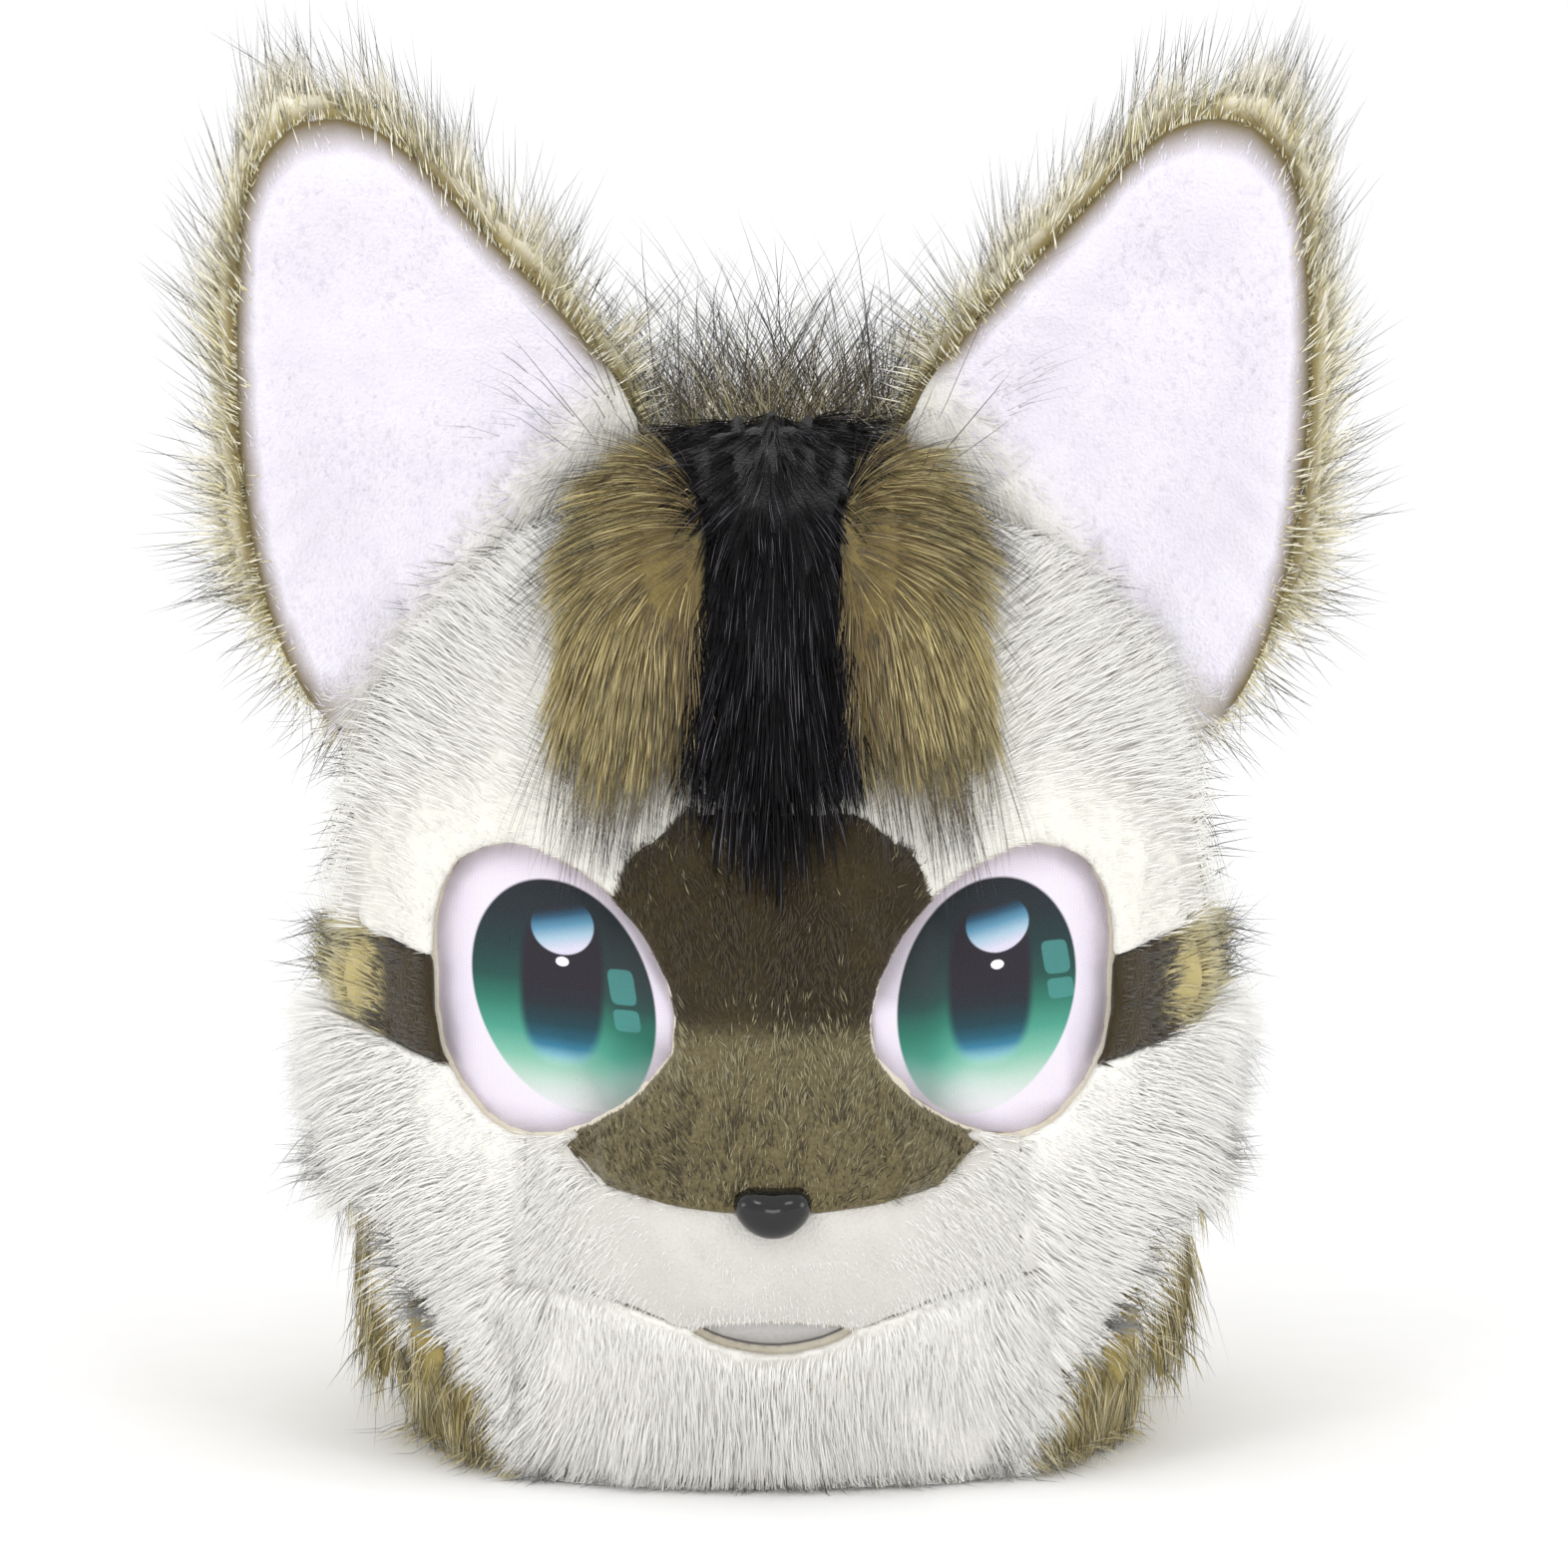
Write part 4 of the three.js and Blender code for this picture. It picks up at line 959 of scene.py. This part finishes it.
# Forelock: long hair that fans from the crown, runs down over the brow and spreads at its ends
def forelockComb(p, n):
    fan = smoothStep(p[:, 2], 0.288, 0.312)
    way = np.zeros_like(p)
    way[:, 0] = np.clip(p[:, 0] / 0.02, -1, 1) * fan * 1.3 + p[:, 0] * 4.0 * (1 - fan)
    way[:, 1] = -0.5 * fan
    way[:, 2] = -1.0 + 0.5 * fan
    return way


def puffComb(p, n):
    fan = smoothStep(p[:, 2], 0.268, 0.298)
    way = np.zeros_like(p)
    way[:, 0] = np.sign(p[:, 0]) * (0.12 + fan * 1.6)
    way[:, 1] = -0.2 * fan
    way[:, 2] = -1.0 + 0.8 * fan
    return way


def lockKinds(p, tones, long):
    # dark brown beside the black hair, khaki outwards, thin black-tipped ends below
    dark = smoothStep(0.030 + (0.28 - p[:, 2]) * 0.15 - np.abs(p[:, 0]), -0.008, 0.010) * 0.8 + 0.1
    low = smoothStep(0.255 - p[:, 2], 0.0, 0.025)
    shade = shadeOf(tones)
    guard = (tones * 7.1) % 1.0 < 0.06 + 0.3 * low + 0.2 * smoothStep(p[:, 2], 0.270, 0.285)
    tone = np.where(guard, 0.87 + shade * 0.12, np.where(tones < dark, 0.61 + shade * 0.24, shade * 0.59))
    return tone, long * np.where(guard, 1.7 + 1.3 * low, 1.0)


# the black forelock's light grey strands are painted highlights
forelockBlack = {
    "count": 5500, "width": 0.00026, "where": outward, "comb": forelockComb,
    "length": lambda p: 0.030 + 0.012 * smoothStep(0.24 - p[:, 2], 0.0, 0.04),
    "lift": 0.16, "droop": 0.1, "stand": 0.5, "clumps": 260, "clump": 0.3, "jitter": 0.05, "wave": 0.1,
    **blackLook,
}
forelockTan = {
    "count": 3900, "width": 0.00027, "where": outward, "comb": puffComb,
    "length": lambda p: 0.026 - 0.009 * smoothStep(0.25 - p[:, 2], 0.0, 0.03),
    "lift": 0.18, "droop": 0.1, "stand": 0.5, "clumps": 220, "clump": 0.3, "jitter": 0.05, "wave": 0.1,
    "kinds": lockKinds, **lockLook,
}
skin = skinPiece("forelock_black_skin", "forelock_black", "black", "black_fur", cuts=1, soften=1)
hairPiece("forelock_black_hair", skin, forelockBlack, 91, "black", "black_fur")
# below this height the tan backings keep only a share of their drop
tanEnd = {"from": 0.226, "share": 0.35}
for side, seed in (("left", 92), ("right", 93)):
    skin = skinPiece("forelock_tan_skin_" + side, "forelock_tan_" + side, "lock", "tan_fur", cuts=1, soften=1)
    for v in skin.data.vertices:
        v.co.z = max(v.co.z, tanEnd["from"] - (tanEnd["from"] - v.co.z) * tanEnd["share"])
    hairPiece("forelock_tan_hair_" + side, skin, forelockTan, seed, "lock", "tan_fur")
print("forelock grown")

# Eyes: each mesh carries a printed iris, the left and right not quite alike, with lights on one side
eyes = {
    "left": {"sign": -1, "out": 0.0623, "tilt": 22, "lightAcross": -0.016, "lightUp": 0.605,
             "dotUp": 0.295, "paneAcross": 0.60, "paneUp": 0.27, "pupilAcross": -0.02},
    "right": {"sign": 1, "out": 0.0637, "tilt": 12, "lightAcross": 0.115, "lightUp": 0.61,
              "dotUp": 0.255, "paneAcross": 0.72, "paneUp": 0.41, "pupilAcross": 0.035},
}
iris = {"up": 0.1515, "halfWide": 0.0276, "halfTall": 0.0331, "long": 0.034, "broad": 0.0264}
meshPitch = 0.0009            # metres from hole to hole
foldAngle = math.radians(50)  # edges of cloth sharper than this stay sharp


def eyeMaterial(name, look):
    # Polyester eye mesh: a lilac-white knit with fine holes and a printed iris
    material, tree, shader = newMaterial(name)
    sign = look["sign"]
    centred = add(tree, "ShaderNodeMapping", {"vector_type": "POINT"}, {
        "Vector": spotOf(tree), "Location": (-sign * look["out"], 0.0, -iris["up"])})
    flat = add(tree, "ShaderNodeSeparateXYZ", None, {0: centred.outputs[0]})
    across, up = flat.outputs["X"], flat.outputs["Z"]
    x = sums(tree, "DIVIDE", across, iris["halfWide"])
    z = sums(tree, "DIVIDE", up, iris["halfTall"])
    turn = math.radians(look["tilt"])
    cos, sin = math.cos(turn), -sign * math.sin(turn)
    broad = sums(tree, "ADD", sums(tree, "MULTIPLY", across, cos / iris["broad"]),
                 sums(tree, "MULTIPLY", up, sin / iris["broad"]))
    tall = sums(tree, "ADD", sums(tree, "MULTIPLY", across, -sin / iris["long"]),
                sums(tree, "MULTIPLY", up, cos / iris["long"]))

    def product(a, b):
        return sums(tree, "MULTIPLY", a, b)

    def disc(px, pz, cx, cz, rx, rz, soft, power=2.0):
        # 1 inside a rounded shape, 0 outside, with a soft rim
        ax = sums(tree, "ABSOLUTE", sums(tree, "MULTIPLY_ADD", px, 1 / rx, -cx / rx), 0.0)
        az = sums(tree, "ABSOLUTE", sums(tree, "MULTIPLY_ADD", pz, 1 / rz, -cz / rz), 0.0)
        away = sums(tree, "ADD", sums(tree, "POWER", ax, power), sums(tree, "POWER", az, power))
        return sums(tree, "SUBTRACT", 1.0, band(tree, away, 1 - soft, 1 + soft))

    height = sums(tree, "MULTIPLY_ADD", z, 0.5, 0.5)
    inner = band(tree, product(x, -sign), 0.15, 0.75)
    level = sums(tree, "ADD", height, product(inner, 0.1))
    printed = ramp(tree, level, [
        (0.03, "#d5dcd6"), (0.12, "#b9d3c6"), (0.22, "#7cbba4"), (0.33, "#479a84"), (0.45, "#27735f"),
        (0.56, "#184a41"), (0.7, "#163432"), (0.85, "#172526"), (1.0, "#161c1e")])
    grey = product(product(inner, band(tree, z, -0.2, 0.2)), 0.75)
    printed = blended(tree, grey, printed, linear("#2b3635"))
    pupil = disc(x, z, look["pupilAcross"], 0.1, 0.45, 0.68, 0.32, 2.8)
    pupilColour = ramp(tree, height, [
        (0.19, "#b3d8cf"), (0.235, "#7ab2c2"), (0.275, "#2f7794"), (0.315, "#185668"), (0.37, "#0d3b43"),
        (0.46, "#182328"), (0.55, "#1e1a20")])
    colour = blended(tree, pupil, printed, pupilColour)
    paneLean = 0.2
    leaning = sums(tree, "MULTIPLY_ADD", z, paneLean, x)
    paneOut = look["paneAcross"] + paneLean * look["paneUp"]
    for low, high in ((-0.30, 0.0), (-0.52, -0.34)):
        middle = look["paneUp"] + (low + high) / 2
        pane = disc(leaning, z, paneOut, middle, 0.14, (high - low) / 2, 0.25, 5.0)
        colour = blended(tree, product(pane, 0.7), colour, linear("#4a938e"))
    light = disc(x, z, look["lightAcross"], look["lightUp"], 0.34, 0.25, 0.07)
    lightLevel = sums(tree, "MULTIPLY_ADD", sums(tree, "SUBTRACT", z, look["lightUp"]), 2.0, 0.5)
    lightSide = product(sums(tree, "SUBTRACT", x, look["lightAcross"]), -0.35)
    lightLevel = sums(tree, "ADD", lightLevel, lightSide)
    lightColour = ramp(tree, lightLevel, [
        (0.08, "#d6d2e4"), (0.3, "#a3c0d2"), (0.5, "#5b90ac"), (0.68, "#285873"), (0.85, "#19313a")])
    light = product(light, sums(tree, "SUBTRACT", 1.0, product(band(tree, lightLevel, 0.6, 0.9), 0.95)))
    colour = blended(tree, light, colour, lightColour)
    dot = disc(x, z, look["lightAcross"], look["dotUp"], 0.072, 0.042, 0.15)
    colour = blended(tree, dot, colour, linear("#f1eef6"))
    shape = disc(broad, tall, 0.0, 0.0, 1.0, 1.0, 0.03)
    foot = sums(tree, "MULTIPLY_ADD", x, 0.25 * sign, z)
    inked = product(shape, sums(tree, "MULTIPLY_ADD", band(tree, foot, -1.0, -0.6), 0.35, 0.65))
    colour = blended(tree, inked, linear("#eae2f0"), colour)
    # the knit's fine holes, in staggered rows
    pace = math.pi / meshPitch
    rising = product(sums(tree, "ADD", across, up), pace)
    falling = product(sums(tree, "SUBTRACT", across, up), pace)
    holes = product(sums(tree, "SINE", rising, 0.0), sums(tree, "SINE", falling, 0.0))
    holes = band(tree, sums(tree, "ABSOLUTE", holes, 0.0), 0.25, 0.8)
    colour = blended(tree, product(holes, 0.3), colour, linear("#6f6c78"))
    coloured(tree, shader, colour)
    bumped(tree, shader, holes, 0.2, 0.0003)
    shine(shader, 0.7, 0.0, 0.12)
    return material


for side, look in eyes.items():
    piece = dressed(cadCopy("eye_cloth_" + side, "eye_mesh_" + side), eyeMaterial("eyeMesh_" + side, look),
                    "eye_cloth", "eye_mesh_" + side)
    piece.data.set_sharp_from_angle(angle=foldAngle)

# Nose: moulded vinyl, glossy black, with its edge rounded
noseMaterial, tree, shader = newMaterial("mouldedVinyl")
pebble = noiseAt(tree, spotOf(tree), 500.0, 3.0)
coloured(tree, shader, ramp(tree, pebble, [(0.3, "#08080a"), (0.7, "#0e0e10")]))
bumped(tree, shader, pebble, 0.05, 0.0002)
shine(shader, 0.16, 0.0, 0.5)
noseTip = dressed(cadCopy("nose_tip", "nose", cuts=1), noseMaterial, "nose_gloss", "nose")
rounding = noseTip.modifiers.new("rounding", "SUBSURF")
rounding.levels = rounding.render_levels = 2

# Mouth: grey felt behind the opening, with a dark line along its foot
mouth = {"foot": 0.0507, "halfWide": 0.0245, "sag": 0.0075, "line": 0.0009}
mouthMaterial, tree, shader = newMaterial("greyFelt")
spot = spotOf(tree)
apart = add(tree, "ShaderNodeSeparateXYZ", None, {0: spot})
share = sums(tree, "DIVIDE", apart.outputs["X"], mouth["halfWide"])
curve = sums(tree, "MULTIPLY_ADD", sums(tree, "MULTIPLY", share, share), mouth["sag"], mouth["foot"])
over = sums(tree, "ABSOLUTE", sums(tree, "SUBTRACT", apart.outputs["Z"], curve), 0.0)
line = sums(tree, "LESS_THAN", over, mouth["line"] / 2)
felt = noiseAt(tree, spot, 700.0, 3.0)
tint = ramp(tree, felt, [(0.3, "#b4b2b1"), (0.7, "#bfbdbc")])
coloured(tree, shader, blended(tree, line, tint, linear("#6f6d70")))
bumped(tree, shader, felt, 0.3, 0.0003)
shine(shader, 0.8, 0.1, 0.2)
mouthCloth = dressed(cadCopy("mouth_cloth", "mouth_lining"), mouthMaterial, "grey_cloth", "mouth_lining")
mouthCloth.data.set_sharp_from_angle(angle=foldAngle)

# Padded wall: open-cell foam, seen at the neck rim and from inside
foamMaterial, tree, shader = newMaterial("upholsteryFoam")
spot = spotOf(tree)
cells = add(tree, "ShaderNodeTexVoronoi", None, {"Vector": spot, "Scale": 700.0})
coloured(tree, shader, ramp(tree, noiseAt(tree, spot, 25.0, 4.0), [(0.3, "#cfc6b2"), (0.7, "#e2dccd")]))
bumped(tree, shader, cells.outputs["Distance"], 0.5, 0.0006)
shine(shader, 0.95, 0.1, 0.1)
foamWall = dressed(cadCopy("foam_wall", "head_wall", cuts=1), foamMaterial, "foam", "head_wall")
print("eyes, nose, mouth and wall made")

# Floor, light and camera
floorMaterial, tree, shader = newMaterial("paperBackdrop")
grain = noiseAt(tree, spotOf(tree), 40.0, 4.0)
coloured(tree, shader, ramp(tree, grain, [(0.3, "#fdfdfd"), (0.7, "#ffffff")]))
shine(shader, 0.9, 0.0, 0.1)
bm = bmesh.new()
bmesh.ops.create_grid(bm, x_segments=2, y_segments=2, size=12.0)
floorMesh = bpy.data.meshes.new("floor")
bm.to_mesh(floorMesh)
bm.free()
floorMesh.materials.append(floorMaterial)
linked("floor", floorMesh)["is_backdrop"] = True


def aimed(item, place, target):
    # stands at a place and looks at a target, level
    item.location = place
    item.rotation_mode = "QUATERNION"
    item.rotation_quaternion = (target - place).to_track_quat("-Z", "Y")


lampTarget = Vector((0.0, 0.0, 0.2))
lamps = [  # name, place, size in metres, power in watts
    ("keyLight", (-0.9, -1.7, 2.2), 0.9, 9.0),
    ("fillLight", (1.0, -1.8, 2.0), 0.9, 7.0),
    ("frontLight", (0.0, -3.0, 0.4), 1.2, 11.0),
    ("leftLight", (-2.2, -0.7, 0.6), 1.0, 5.5),
    ("rightLight", (2.2, -0.7, 0.6), 1.0, 5.5),
]
for name, place, size, power in lamps:
    lamp = bpy.data.lights.new(name, "AREA")
    lamp.shape = "DISK"
    lamp.size = size
    lamp.energy = power
    aimed(linked(name, lamp), Vector(place), lampTarget)
world = bpy.data.worlds.new("softbox")
world.use_nodes = True
background = world.node_tree.nodes["Background"]
background.inputs["Color"].default_value = linear("#ffffff")
background.inputs["Strength"].default_value = 1.0
bpy.context.scene.world = world
bpy.context.scene.view_settings.view_transform = "Standard"

shot = {"elevation": 10, "away": 8.0, "target": Vector((0.0033, 0.0, 0.200)), "wide": 0.4716, "sensor": 36.0}
tip = math.radians(shot["elevation"])
towards = Vector((0.0, -math.cos(tip), math.sin(tip)))
cameraData = bpy.data.cameras.new("camera")
cameraData.sensor_width = shot["sensor"]
cameraData.lens = shot["sensor"] * shot["away"] / shot["wide"]
camera = linked("camera", cameraData)
aimed(camera, shot["target"] + towards * shot["away"], shot["target"])
bpy.context.scene.camera = camera
print("light and camera set")

triangles = {piece.name: sum(len(face.vertices) - 2 for face in piece.data.polygons)
             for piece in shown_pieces() if piece.type == "MESH"}
print("triangles", sum(triangles.values()), "largest", max(triangles.items(), key=lambda pair: pair[1]))
